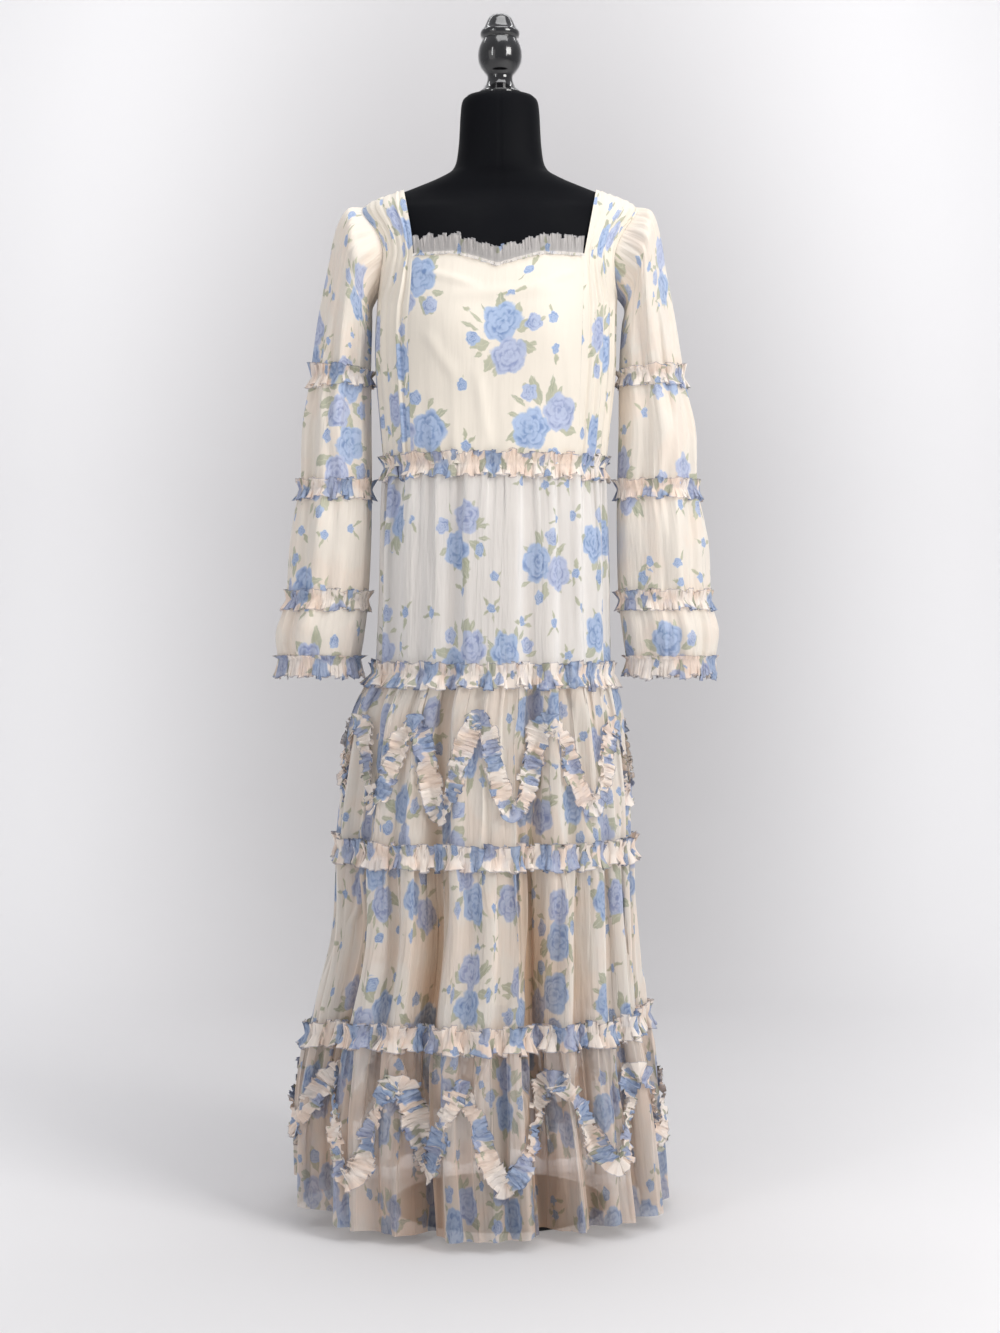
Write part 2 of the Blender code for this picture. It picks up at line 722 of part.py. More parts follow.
def outward(point, before, after):
    """The level direction out of a ring at a point, from its two neighbours."""
    along = after - before
    return Vector((along.y, -along.x, 0)).normalized()


def bridge(column, height, share):
    """How much further out a frill lies at the bottom of a fold, which it doesn't follow all the way in."""
    if column % 4 != 1:
        return 0
    return share * fold_depth(columns_at(height)[column], height)


def frill_row(base, clear, lifts, bridging):
    """A row of a frill: its base points moved out by the clearance and by each point's own lift."""
    row = []
    for column, point in enumerate(base):
        level = outward(point, base[column - 1], base[(column + 1) % len(base)])
        out = (level + Vector((point.x, point.y, 0)).normalized()).normalized()
        row.append(point + out * (clear + lifts[column] + bridge(column, point.z, bridging)))
    return row


def build_band_ruffle(name, place, clear, side_ease):
    """A frill gathered along its middle over a seam, with both edges free, flatter at the sides.

    place(column, rise) is the point of the cloth under it, rise metres above the seam.
    """
    angles = columns_at(SKIRT_SEAMS[1])
    flatter = [1 - side_ease * math.sin(math.radians(angle)) ** 4 for angle in angles]
    rows = []
    for rise, phase in ((-FRILL_DOWN, 0), (0, None), (FRILL_UP, 2)):
        base = [place(column, rise) for column in range(SKIRT_COLUMNS)]
        lifts = [
            0 if phase is None else 0.0010 + FRILL_OUT * frill_wave(column, phase) * flatter[column]
            for column in range(SKIRT_COLUMNS)
        ]
        rows.append(frill_row(base, clear, lifts, 0.3))
    add_wall(name, moved(rows, normals(rows, True), TRIM), rows, True, "ruffle_mesh")


def build_scalloped_ruffle(name, grid, turns, half_width, clear):
    """A frill laid along a line that climbs and falls round a tier."""
    path = [(turn.angle + lap, turn.height) for lap in (-360, 0, 360) for turn in turns]
    middle = sum(turn.height for turn in turns) / len(turns)
    angles = columns_at(middle)
    rows = []
    for side, phase in ((-1, 0), (0, None), (1, 2)):
        base, lifts = [], []
        for column, angle in enumerate(angles):
            steep = (smooth(path, angle + 2) - smooth(path, angle - 2)) / 0.016
            height = smooth(path, angle) + side * half_width * min(math.hypot(1, steep), 1.7)
            base.append(on_tier(grid, column, height))
            lifts.append(0 if phase is None else 0.001 + FRILL_OUT * frill_wave(column, phase))
        rows.append(frill_row(base, clear, lifts, 0.3))
    add_wall(name, moved(rows, normals(rows, True), TRIM), rows, True, "ruffle_mesh")


def build_lining():
    """The plain underskirt, gathered into the waist seam."""
    columns = 32
    heights = [LINING_HEM, 0.600, 0.900, WAIST - 0.004]
    grid = [
        [
            ring_point(section_at(LINING_SECTIONS, height), 360 * k / columns)
            for k in range(columns)
        ]
        for height in heights
    ]
    add_cloth("skirt_lining", grid, True, "lining_cloth")


def build_skirt():
    tiers = [tier_grid(index) for index in range(4)]
    for index, grid in enumerate(tiers):
        add_cloth(f"skirt_tier_{index + 1}", grid, True, "mesh_print")
    waist_angles = columns_at(WAIST)

    def at_waist(column, rise):
        if rise < 0:
            return on_tier(tiers[0], column, WAIST + rise)
        angle = waist_angles[column]
        return bodice_point(angle, WAIST + rise) + bodice_normal(angle, WAIST + rise) * CLOTH

    build_band_ruffle("waist_ruffle", at_waist, 0.0010, 0.4)
    for index in (1, 2, 3):

        def at_seam(column, rise, index=index):
            height = seam_height(index, columns_at(SKIRT_SEAMS[1])[column]) + rise
            return on_tier(tiers[index] if rise <= 0 else tiers[index - 1], column, height)

        build_band_ruffle(f"skirt_ruffle_{index}", at_seam, 0.0006, 0.7 if index == 1 else 0)
    build_scalloped_ruffle("scalloped_ruffle_upper", tiers[1], UPPER_TURNS, 0.012, 0.0026)
    build_scalloped_ruffle("scalloped_ruffle_lower", tiers[3], LOWER_TURNS, 0.012, 0.0013)
    build_lining()


# Sleeves

def armhole_ring(side):
    """The sleeve's first ring, from the front panel's armhole edge round to the back panel's, moved out."""
    low, high = ARMHOLE[0], ARMHOLE[-1]
    path = [(height, side * (90 + away)) for height, away in ARMHOLE[1:-1]]
    front = [(height, side * (90 - away)) for height, away in reversed(ARMHOLE[1:-1])]
    order = [(low[0], side * 90), *path, (high[0], side * 90), *front]
    return [bodice_point(angle, height) + Vector((side * 0.0024, 0, 0)) for height, angle in order]


def sleeve_rings(side, table):
    """All rings of a sleeve from the armhole down, each starting at its inner point and going by the back."""
    first = armhole_ring(side)
    count = len(first)
    rings = [first]
    for row in table:
        outer = Vector((side * row.outer_x, 0, row.outer_z))
        inner = Vector((side * row.inner_x, 0, row.inner_z))
        middle, reach = (outer + inner) / 2, (inner - outer) / 2
        ring = []
        for k in range(count):
            turn = math.tau * k / count
            near_body = max(0, math.cos(turn))
            scale = 1 + row.gather * math.cos(GATHERS * turn + 2.4) * (1 - near_body) / reach.length
            place = middle + (reach * math.cos(turn) + Vector((0, row.half_depth * math.sin(turn), 0))) * scale
            ring.append(place)
        rings.append(ring)
    return rings


def add_sleeve_wall(name, rings, side, finish, thickness=CLOTH):
    """A tube wall through rings that run downwards. Columns are put in the order that the normals need."""
    grid = [list(ring) for ring in reversed(rings)]
    if side > 0:
        grid = [list(reversed(line)) for line in grid]
    add_cloth(name, grid, True, finish, thickness)


def build_sleeve_ruffle(name, rings, at, side, up, down, out):
    """A frill round a sleeve tube, over the ring with index at, which is level."""
    here = rings[at]
    above = rings[at - 1]
    below = rings[at + 1] if at + 1 < len(rings) else None
    middle = sum(here, Vector()) / len(here)
    rows = []
    for rise, phase in ((up, 0), (0, None), (-down, 2)):
        neighbour = above if rise > 0 or below is None else below
        line = []
        for k, point in enumerate(here):
            share = abs(rise) / max(abs(neighbour[k].z - point.z), 0.001)
            if below is None and rise < 0:
                place = point + Vector((0, 0, rise))
            else:
                place = point.lerp(neighbour[k], min(share, 1))
            away = Vector((point.x - middle.x, point.y - middle.y, 0)).normalized()
            lift = 0 if phase is None else 0.001 + out * frill_wave(k, phase)
            near_body = max(0, -away.x * side)
            line.append(place + away * (TRIM + 0.0006 + lift * (1 - 0.85 * near_body)))
        rows.append(line)
    add_sleeve_wall(name, rows, side, "ruffle_mesh", TRIM)


def build_sleeve(word, side, table):
    rings = sleeve_rings(side, table)
    start = 0
    for tier, last in enumerate(SLEEVE_TIER_ENDS):
        end = last + 1
        tube = [list(ring) for ring in rings[start : end + 1]]
        if start:
            tube[0] = [point - Vector((0, 0, SEAM_GAP / 2)) for point in tube[0]]
        tube[-1] = [point + Vector((0, 0, SEAM_GAP / 2)) for point in tube[-1]]
        add_sleeve_wall(f"sleeve_{word}_{tier + 1}", tube, side, "mesh_print")
        start = end
    for number, last in enumerate(SLEEVE_TIER_ENDS[:-1]):
        build_sleeve_ruffle(
            f"sleeve_{word}_ruffle_{number + 1}", rings, last + 1, side,
            SLEEVE_FRILL_UP, SLEEVE_FRILL_DOWN, SLEEVE_FRILL_OUT,
        )
    build_sleeve_ruffle(
        f"cuff_{word}_ruffle", rings, len(rings) - 1, side, 0.006, CUFF_FRILL_DOWN, 0.008
    )


def main():
    for old in list(bpy.data.objects):
        bpy.data.objects.remove(old)
    build_form()
    build_front_panel()
    build_side_front("right", -1)
    build_side_front("left", 1)
    build_back()
    build_neck_ruffle()
    build_skirt()
    build_sleeve("right", -1, RIGHT_SLEEVE)
    build_sleeve("left", 1, LEFT_SLEEVE)


main()
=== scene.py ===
# %% [markdown]
# # A tiered maxi dress on a dress form
#
# The dress is cut from a printed mesh that is gathered into tiers, with frills over its seams, and it
# hangs on a black limbless form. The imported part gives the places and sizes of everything. This script
# lays fine cloth shells over the part's plain solids and gives every surface its finish.
#
# All lengths are in metres. The dress faces -Y, +Z is up and +X is the wearer's left.

import json
import math
from collections import namedtuple

import bpy
import numpy as np
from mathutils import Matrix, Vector

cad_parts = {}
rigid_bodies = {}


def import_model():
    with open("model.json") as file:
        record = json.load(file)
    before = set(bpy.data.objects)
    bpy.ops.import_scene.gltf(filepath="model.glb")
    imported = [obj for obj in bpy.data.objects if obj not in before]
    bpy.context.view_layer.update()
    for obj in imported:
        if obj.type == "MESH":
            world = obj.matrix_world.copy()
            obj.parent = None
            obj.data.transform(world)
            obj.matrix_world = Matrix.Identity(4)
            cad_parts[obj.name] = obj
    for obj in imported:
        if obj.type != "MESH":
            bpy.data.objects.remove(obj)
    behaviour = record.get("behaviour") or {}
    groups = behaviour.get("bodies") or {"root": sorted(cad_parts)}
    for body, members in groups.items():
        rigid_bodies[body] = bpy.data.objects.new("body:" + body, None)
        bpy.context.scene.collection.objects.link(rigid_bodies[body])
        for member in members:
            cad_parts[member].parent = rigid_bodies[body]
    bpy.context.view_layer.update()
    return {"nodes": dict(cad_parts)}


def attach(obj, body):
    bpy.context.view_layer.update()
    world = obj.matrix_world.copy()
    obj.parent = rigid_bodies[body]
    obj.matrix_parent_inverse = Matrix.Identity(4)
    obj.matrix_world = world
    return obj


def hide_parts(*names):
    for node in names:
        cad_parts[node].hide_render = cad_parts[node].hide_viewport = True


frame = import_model()

# %% [markdown]
# ## The camera
#
# The photograph was taken from three metres away, about hip high, and looks down by less than a
# degree. Its scale at the form's axis gives the lens: a pixel there is 1.4 mm.

# %% Camera
PHOTO_HEIGHT = 1333
HORIZON_ROW = 640
PIXEL = 0.0014
DISTANCE = 3.0
EYE_HEIGHT = 0.792
SENSOR = 36.0

focal_pixels = DISTANCE / PIXEL
tilt = math.atan((PHOTO_HEIGHT / 2 - HORIZON_ROW) / focal_pixels)
camera_data = bpy.data.cameras.new("camera")
camera_data.sensor_width = SENSOR
camera_data.lens = SENSOR * focal_pixels / PHOTO_HEIGHT
camera = bpy.data.objects.new("camera", camera_data)
camera.location = (0, -DISTANCE, EYE_HEIGHT)
camera.rotation_euler = (math.pi / 2 - tilt, 0, 0)
bpy.context.scene.collection.objects.link(camera)
bpy.context.scene.camera = camera
print(f"a {camera_data.lens:.1f} mm lens, tilted {math.degrees(tilt):.2f} degrees")

# %% [markdown]
# ## Curves through a few known values
#
# The part's own tables are short: an outline every ten centimetres or so. A smooth curve through them
# gives the value at any height, for a whole array of heights at once. The values may be numbers or
# whole rings of points.


# %% Smooth curve
def smooth(positions, values, at):
    """A smooth curve through values at rising positions, read at one place or an array of places."""
    x, y = np.asarray(positions, float), np.asarray(values, float)
    if x[0] > x[-1]:
        x, y = x[::-1], y[::-1]
    fit = (slice(None),) + (None,) * (y.ndim - 1)
    slope = np.empty_like(y)
    slope[1:-1] = (y[2:] - y[:-2]) / (x[2:] - x[:-2])[fit]
    slope[0], slope[-1] = (y[1] - y[0]) / (x[1] - x[0]), (y[-1] - y[-2]) / (x[-1] - x[-2])
    at = np.clip(at, x[0], x[-1])
    i = np.clip(np.searchsorted(x, at, side="right") - 1, 0, len(x) - 2)
    step = x[i + 1] - x[i]
    t = (at - x[i]) / step
    if y.ndim > 1:
        step, t = step[fit], t[fit]
    return (
        y[i] * (1 + 2 * t) * (1 - t) ** 2
        + slope[i] * step * t * (1 - t) ** 2
        + y[i + 1] * t * t * (3 - 2 * t)
        + slope[i + 1] * step * t * t * (t - 1)
    )


def eased(value, low=0.0, high=1.0):
    """0 below low, 1 above high, and a soft rise between them."""
    t = np.clip((value - low) / (high - low), 0, 1)
    return t * t * (3 - 2 * t)


# %% [markdown]
# ## Outlines of the form and the dress
#
# Every level section is a squarish oval that reaches a different distance to the left, right, front
# and back. The angle round it is 0 in front and grows towards the wearer's left.


# %% Outlines
def rows_of(kind, rows):
    """A table's rows, each with the names of its columns."""
    return [kind(*row) for row in rows]


Outline = namedtuple("Outline", "height left right front back")
POWER = 2.15

FORM = rows_of(Outline, [
    (0.700, 0.104, 0.104, 0.074, 0.080), (0.708, 0.122, 0.122, 0.088, 0.095),
    (0.760, 0.128, 0.128, 0.095, 0.102), (0.825, 0.130, 0.130, 0.096, 0.103),
    (0.890, 0.127, 0.127, 0.095, 0.098), (0.960, 0.119, 0.119, 0.091, 0.088),
    (1.035, 0.113, 0.113, 0.088, 0.081), (1.095, 0.119, 0.119, 0.092, 0.085),
    (1.150, 0.131, 0.131, 0.100, 0.091), (1.205, 0.143, 0.143, 0.108, 0.095),
    (1.255, 0.147, 0.147, 0.110, 0.098), (1.300, 0.153, 0.153, 0.103, 0.098),
    (1.335, 0.169, 0.169, 0.091, 0.095), (1.365, 0.184, 0.184, 0.077, 0.086),
    (1.386, 0.191, 0.191, 0.065, 0.072), (1.398, 0.180, 0.180, 0.056, 0.061),
    (1.410, 0.150, 0.150, 0.051, 0.055), (1.422, 0.118, 0.118, 0.050, 0.053),
    (1.434, 0.088, 0.088, 0.050, 0.052), (1.446, 0.067, 0.067, 0.052, 0.053),
    (1.470, 0.059, 0.059, 0.052, 0.053), (1.532, 0.0545, 0.0545, 0.052, 0.052),
    (1.543, 0.052, 0.052, 0.0495, 0.0495), (1.548, 0.047, 0.047, 0.0445, 0.0445),
])
BODICE = rows_of(Outline, [
    (1.030, 0.159, 0.144, 0.116, 0.106), (1.100, 0.166, 0.151, 0.121, 0.109),
    (1.163, 0.171, 0.157, 0.126, 0.112), (1.220, 0.171, 0.158, 0.127, 0.111),
    (1.270, 0.168, 0.160, 0.121, 0.108), (1.320, 0.173, 0.169, 0.106, 0.104),
    (1.360, 0.187, 0.186, 0.086, 0.095),
])
SKIRT = rows_of(Outline, [
    (1.030, 0.159, 0.144, 0.118, 0.108), (0.920, 0.169, 0.151, 0.141, 0.138),
    (0.790, 0.174, 0.154, 0.155, 0.158), (0.745, 0.179, 0.158, 0.162, 0.167),
    (0.690, 0.206, 0.172, 0.174, 0.180), (0.590, 0.224, 0.186, 0.185, 0.190),
    (0.505, 0.234, 0.192, 0.196, 0.198), (0.390, 0.240, 0.200, 0.210, 0.208),
    (0.270, 0.268, 0.212, 0.228, 0.222), (0.150, 0.292, 0.236, 0.246, 0.232),
    (0.015, 0.296, 0.254, 0.262, 0.240),
])
LINING = rows_of(Outline, [
    (1.030, 0.1564, 0.1414, 0.1154, 0.1054), (0.990, 0.1510, 0.1370, 0.1130, 0.1080),
    (0.900, 0.149, 0.136, 0.112, 0.115), (0.700, 0.148, 0.134, 0.114, 0.119),
    (0.300, 0.154, 0.132, 0.116, 0.116),
])


def outline_at(table, height):
    """How far the table's outline reaches to the left, right, front and back at each height."""
    rows = np.array(table)
    return [smooth(rows[:, 0], rows[:, k], height) for k in range(1, 5)]


def signed_power(value, power):
    return np.sign(value) * np.abs(value) ** power


def oval(table, angle, height, inward=0.0):
    """Points on the outline at angles in degrees, moved in towards its middle."""
    left, right, front, back = outline_at(table, height)
    turn = np.radians(angle)
    x = ((left + right) / 2 - inward) * signed_power(np.sin(turn), 2 / POWER) + (right - left) / 2
    y = (back - front) / 2 - ((front + back) / 2 - inward) * signed_power(np.cos(turn), 2 / POWER)
    return np.stack(np.broadcast_arrays(x, y, height), axis=-1)


def unit(vectors):
    return vectors / np.maximum(np.linalg.norm(vectors, axis=-1, keepdims=True), 1e-9)


def outward(grid, closed):
    """The outward normal at each point of a grid whose rows rise and whose columns turn to the left."""
    if closed:
        across = np.roll(grid, -1, axis=1) - np.roll(grid, 1, axis=1)
    else:
        across = np.gradient(grid, axis=1)
    return unit(np.cross(across, np.gradient(grid, axis=0)))


print("the skirt is", round(sum(outline_at(SKIRT, 0.015)[:2]), 3), "m wide at its hem")

# %% [markdown]
# ## Cloth lengths
#
# A row of cloth has a length along its own waves, which is longer than the body it goes round. The UV
# maps and the cut sizes both come from these lengths.


# %% Lengths
def lengths(points, closed):
    """How far along a line of points each one lies; a closed line has one more value, its whole length."""
    ring = np.concatenate([points, points[:1]]) if closed else points
    return np.concatenate([[0], np.cumsum(np.linalg.norm(np.diff(ring, axis=0), axis=1))])


# %% [markdown]
# ## From a grid of points to a piece of cloth
#
# Each piece is a grid of points: its rows run up the cloth and its columns run round it. Its UV map is
# in metres of flat cloth, so that the print keeps its size, and gathers squeeze it as they do in real
# cloth. The attribute called inset says how deep in a fold each point lies. Each piece's cut is the
# width of its longest row and the length of its longest column.


# %% Cloth pieces
CUTS = {}
BOLT_STEP = (0.37, 0.61)  # each piece is cut from a new place on the printed cloth


def add_mesh(name, points, faces, finish):
    """A smooth mesh object."""
    mesh = bpy.data.meshes.new(name)
    mesh.from_pydata(points.tolist(), [], faces.tolist())
    mesh.shade_smooth()
    mesh.materials.append(finish)
    made = bpy.data.objects.new(name, mesh)
    bpy.context.scene.collection.objects.link(made)
    return made


def stand_for(node):
    """A piece is seen in place of one of the part's solids."""
    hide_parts(node)


def add_grid(name, grid, finish, closed, kept=None):
    """A mesh that rides on the part, from a grid of points, and the grid places of its faces' corners."""
    rows, columns = grid.shape[:2]
    i, j = np.meshgrid(np.arange(rows - 1), np.arange(columns if closed else columns - 1), indexing="ij")
    if kept is not None:
        i, j = i[kept], j[kept]
    row = i.ravel()[:, None] + np.array([0, 0, 1, 1])
    column = j.ravel()[:, None] + np.array([0, 1, 1, 0])
    used, where = np.unique(row * columns + column % columns, return_inverse=True)
    made = add_mesh(name, grid.reshape(-1, 3)[used], where.reshape(-1, 4), finish)
    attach(made, "root")
    return made, row, column, used


def add_cloth(name, grid, finish, closed, fullness=1.0, inset=None, kept=None, area=1.0):
    """A cloth piece from a grid of points. fullness squeezes its print sideways.

    Its cut is as wide as its longest row and as long as its longest column. A frill is drawn with fewer
    puckers at its stitches than it has, so its cut is taken from its mean row and column.
    """
    made, row, column, used = add_grid(name, grid, finish, closed, kept)
    across = [lengths(line, closed) for line in grid]
    widest = max(across, key=lambda line: line[-1])
    up = lengths(grid[:, grid.shape[1] // 2], False)
    u = widest if closed else widest - widest[-1] / 2
    flat = np.stack([u[column] * fullness, up[row]], axis=-1) + len(CUTS) * np.array(BOLT_STEP)
    made.data.uv_layers.new(name="cloth").data.foreach_set("uv", flat.astype(np.float32).ravel())
    # The inset also sets how much painted shade a cloth gets in the troughs of its folds.
    depth = np.zeros(len(used)) if inset is None else inset.ravel()[used]
    made.data.attributes.new("inset", "FLOAT", "POINT").data.foreach_set("value", depth.astype(np.float32))
    rows = [line[-1] for line in across]
    columns = [lengths(grid[:, k], False)[-1] for k in range(0, grid.shape[1], 8)]
    measure = np.mean if "ruffle" in name else np.max
    cut = (float(measure(rows)), float(measure(columns)))
    CUTS[name] = cut
    area * cut[0] * cut[1]
    return made


# %% [markdown]
# ## Gathers
#
# Gathered cloth never repeats itself. A ripple is a wave whose every crest has its own height and
# width, from a numbered seed, so that each run of the script gives the same cloth.


# %% Ripple
def ripple(along, total, crests, seed, unevenness=0.6, lowest=0.35):
    """An uneven wave of a number of crests over a total length, and how far its sides lean over.

    Both are from -1 to 1. The lean is largest between a crest and a trough.
    """
    random = np.random.default_rng(seed)
    count = 2 * crests
    knots = np.arange(count + 1.0)
    knots[1:-1] += unevenness * random.uniform(-0.5, 0.5, count - 1)
    knots *= total / count
    heights = random.uniform(lowest, 1, count + 1) * (-1.0) ** np.arange(count + 1)
    heights[-1] = heights[0]
    along = np.mod(along, total)
    i = np.clip(np.searchsorted(knots, along, side="right") - 1, 0, count - 1)
    t = (along - knots[i]) / (knots[i + 1] - knots[i])
    wave = heights[i] + (heights[i + 1] - heights[i]) * t * t * (3 - 2 * t)
    return wave, np.sin(math.tau * t)


# %% [markdown]
# ## The skirt's folds
#
# Sixteen troughs run from the waist to the hem between round tubes of cloth. Their places in front
# follow the photograph. Between them lie creases, shallower and shorter, which are listed one by one
# and made all different. The back has the same kind, turned half round. The hem is a little lower in a
# trough.

# %% Folds
HEM = 0.015
WAIST = 1.030
SKIRT_SEAMS = (0.745, 0.505, 0.270)

Trough = namedtuple("Trough", "hem_angle waist_angle depth half_width")
TROUGHS = rows_of(Trough, [
    (-84, -76, 0.060, 7.5), (-56, -54, 0.052, 6.5), (-33, -38, 0.036, 5.0), (-18, -21, 0.078, 6.0),
    (-4, -7, 0.020, 4.0), (7, 4, 0.024, 4.0), (21, 16, 0.080, 6.0), (37, 33, 0.046, 5.0),
    (55, 53, 0.036, 6.0), (78, 77, 0.054, 7.5), (104, 103, 0.046, 8.0), (131, 131, 0.064, 7.5),
    (159, 160, 0.046, 8.0), (188, 188, 0.074, 7.5), (217, 217, 0.050, 8.0), (246, 248, 0.062, 7.5),
])
FOLD_HEIGHTS = (1.030, 0.920, 0.745, 0.690, 0.505, 0.390, 0.270, 0.150, 0.015)
FOLD_SHARES = (0.015, 0.13, 0.20, 0.34, 0.42, 0.58, 0.70, 0.93, 1.00)

Crease = namedtuple("Crease", "angle drift top bottom depth half_width")
CREASES = rows_of(Crease, [
    (-71, -2, 0.50, 0.00, 0.016, 3.2), (-64, 3, 0.70, 0.40, 0.010, 2.6), (-47, -2, 0.72, 0.46, 0.012, 2.4),
    (-44, 2, 0.30, 0.00, 0.015, 2.2), (-26, -2, 0.26, 0.00, 0.012, 1.8), (-29, 3, 0.74, 0.52, 0.010, 2.0),
    (-13, 1, 0.72, 0.33, 0.011, 1.9), (-11, -1, 0.24, 0.00, 0.014, 1.7), (0, 1, 0.68, 0.42, 0.008, 1.6),
    (2, -1, 0.25, 0.00, 0.010, 1.5), (12, 2, 0.70, 0.28, 0.012, 1.7), (15, -1, 0.22, 0.00, 0.011, 1.6),
    (27, -2, 0.50, 0.10, 0.013, 2.0), (31, 1, 0.25, 0.00, 0.009, 1.8), (41, 3, 0.73, 0.50, 0.012, 2.2),
    (47, -2, 0.27, 0.00, 0.016, 2.5), (64, 2, 0.60, 0.20, 0.014, 2.8), (69, -2, 0.25, 0.00, 0.012, 2.6),
    (90, 2, 0.70, 0.30, 0.015, 3.4), (93, -3, 0.25, 0.00, 0.015, 3.0),
])


def away_from(angle, middle):
    """How many degrees an angle lies from a middle, the short way round."""
    return (angle - middle + 180) % 360 - 180


def fold_depth(angle, height):
    """How far the cloth lies in from its crests."""
    share = (height - HEM) / (WAIST - HEM)
    depth = 0.0
    for trough in TROUGHS:
        middle = trough.hem_angle + (trough.waist_angle - trough.hem_angle) * share
        depth = depth + trough.depth * np.exp(-((away_from(angle, middle) / trough.half_width) ** 2))
    return depth * smooth(FOLD_HEIGHTS, FOLD_SHARES, height)


def crease_depth(angle, height):
    """The further depth of the creases, which start and end softly unless they run out at the hem."""
    depth = 0.0
    for half in (0, 180):
        for crease in CREASES:
            down = (crease.top - height) / (crease.top - max(crease.bottom, HEM))
            fade = eased(down, 0, 0.35)
            if crease.bottom > HEM:
                fade = fade * eased(1 - down, 0, 0.35)
            middle = crease.angle + half + crease.drift * np.clip(down, 0, 1)
            beside = away_from(angle, middle) / crease.half_width
            depth = depth + fade * crease.depth * np.exp(-(beside**2))
    return depth


print(len(TROUGHS), "troughs and", 2 * len(CREASES), "creases")

# %% [markdown]
# ## The surface of a tier
#
# Every tier is gathered into the seam above it. Close under the seam the gathers are fine and close
# together, and further down they run into fewer and broader ones. So three ripples are laid over the
# folds, each with its own wave length, depth and reach.

# %% Tier surface
Gather = namedtuple("Gather", "wave_length depth reach")
TIER_GATHERS = rows_of(Gather, [(0.011, 0.0019, 0.040), (0.024, 0.0042, 0.120), (0.052, 0.0065, 0.320)])
FINE_ANGLES = np.linspace(-180, 180, 3601)
SAG = 0.034
SAG_ANGLE = -98
SAG_SPREAD = 32
HEM_LIFT = 0.018
HEM_WAVE = 0.003
HEM_DROP = 0.06  # of a trough's depth
LEAN = 0.45  # of a ripple's height
WANDER = 0.006
AT_STITCHES = 0.35  # of a gather's depth
AT_LOWER_SEAM = 0.3

Tier = namedtuple("Tier", "number seed strength rows fullness")
TIERS = rows_of(Tier, [
    (0, 11, 0.75, 64, 1.3), (1, 23, 1.0, 56, 1.5), (2, 37, 1.1, 56, 1.45), (3, 41, 1.1, 62, 1.4),
])


def seam_height(index, angle):
    """The height of a skirt seam: 0 is the waist and 4 the hem. The lowest seam sags at one side."""
    if index == 0:
        return WAIST + 0 * angle
    beside = np.exp(-((away_from(angle, SAG_ANGLE) / SAG_SPREAD) ** 2))
    if index == 4:
        wave = HEM_WAVE * (1 - np.cos(np.radians(3 * angle + 40)))
        return HEM + wave + HEM_LIFT * beside - HEM_DROP * fold_depth(angle, HEM)
    return SKIRT_SEAMS[index - 1] - (SAG * beside if index == 3 else 0 * angle)


def skirt_ring(height):
    """Fine points round the skirt's folds at a height, with how far along each one lies."""
    depth = fold_depth(FINE_ANGLES, height) + crease_depth(FINE_ANGLES, height)
    return lengths(oval(SKIRT, FINE_ANGLES, height, depth), False)


TIER_MIDDLES = (0.90, 0.62, 0.38, 0.14)  # a height within each tier
TIER_ARCS = [skirt_ring(height) for height in TIER_MIDDLES]


def angles_round(index, spacing):
    """Angles round a tier, one for every spacing metres of its cloth."""
    arc = TIER_ARCS[index]
    count = round(arc[-1] / spacing)
    return np.interp(np.arange(count) * arc[-1] / count, arc, FINE_ANGLES)


def tier_point(tier, angle, height, shallow=0.0):
    """A tier's outer face with its folds, creases and gathers. shallow keeps out of the deepest folds."""
    depth = (1 - shallow) * (fold_depth(angle, height) + crease_depth(angle, height))
    place = oval(SKIRT, angle, height, depth)
    near = oval(SKIRT, angle + 0.2, height, (1 - shallow) * fold_depth(angle + 0.2, height))
    tangent = unit((near - place) * np.array([1, 1, 0]))
    normal = np.stack([tangent[..., 1], -tangent[..., 0], 0 * tangent[..., 0]], axis=-1)
    arc = TIER_ARCS[tier.number]
    below = seam_height(tier.number, angle) - height
    above = height - seam_height(tier.number + 1, angle)
    wander = WANDER * np.sin(np.radians(7 * angle) + 9 * height) * eased(below, 0, 0.2)
    along = np.interp((angle + 180) % 360 - 180, FINE_ANGLES, arc) + wander
    for number, gather in enumerate(TIER_GATHERS):
        wave, lean = ripple(along, arc[-1], round(arc[-1] / gather.wave_length), tier.seed + number)
        size = tier.strength * gather.depth * np.exp(-np.maximum(below, 0) / gather.reach)
        size = size * (AT_STITCHES + (1 - AT_STITCHES) * eased(below, 0, 0.02))
        if tier.number < 3:
            size = size * (AT_LOWER_SEAM + (1 - AT_LOWER_SEAM) * eased(above, 0, 0.05))
        place = place + normal * (size * wave)[..., None] + tangent * (LEAN * size * lean)[..., None]
    return place


def tier_grid(tier, spacing):
    """A tier's points from its lower edge to its upper one, and how deep in its folds each lies."""
    angle = np.tile(angles_round(tier.number, spacing), (tier.rows, 1))
    low = seam_height(tier.number + 1, angle)
    high = seam_height(tier.number, angle)
    height = low + (high - low) * np.linspace(0, 1, tier.rows)[:, None]
    return tier_point(tier, angle, height), fold_depth(angle, height) + crease_depth(angle, height)


print("tier outlines are", [round(float(arc[-1]), 2) for arc in TIER_ARCS], "m round")

# %% [markdown]
# ## Frills
#
# A frill is a strip gathered along a line of stitches. Its free edges are much longer than the stitched
# line, so they swing out and in, and each fold leans over its neighbours a little. The two edges swing
# on their own. The frills of this dress are cut from the same mesh and are sewn along their middles.


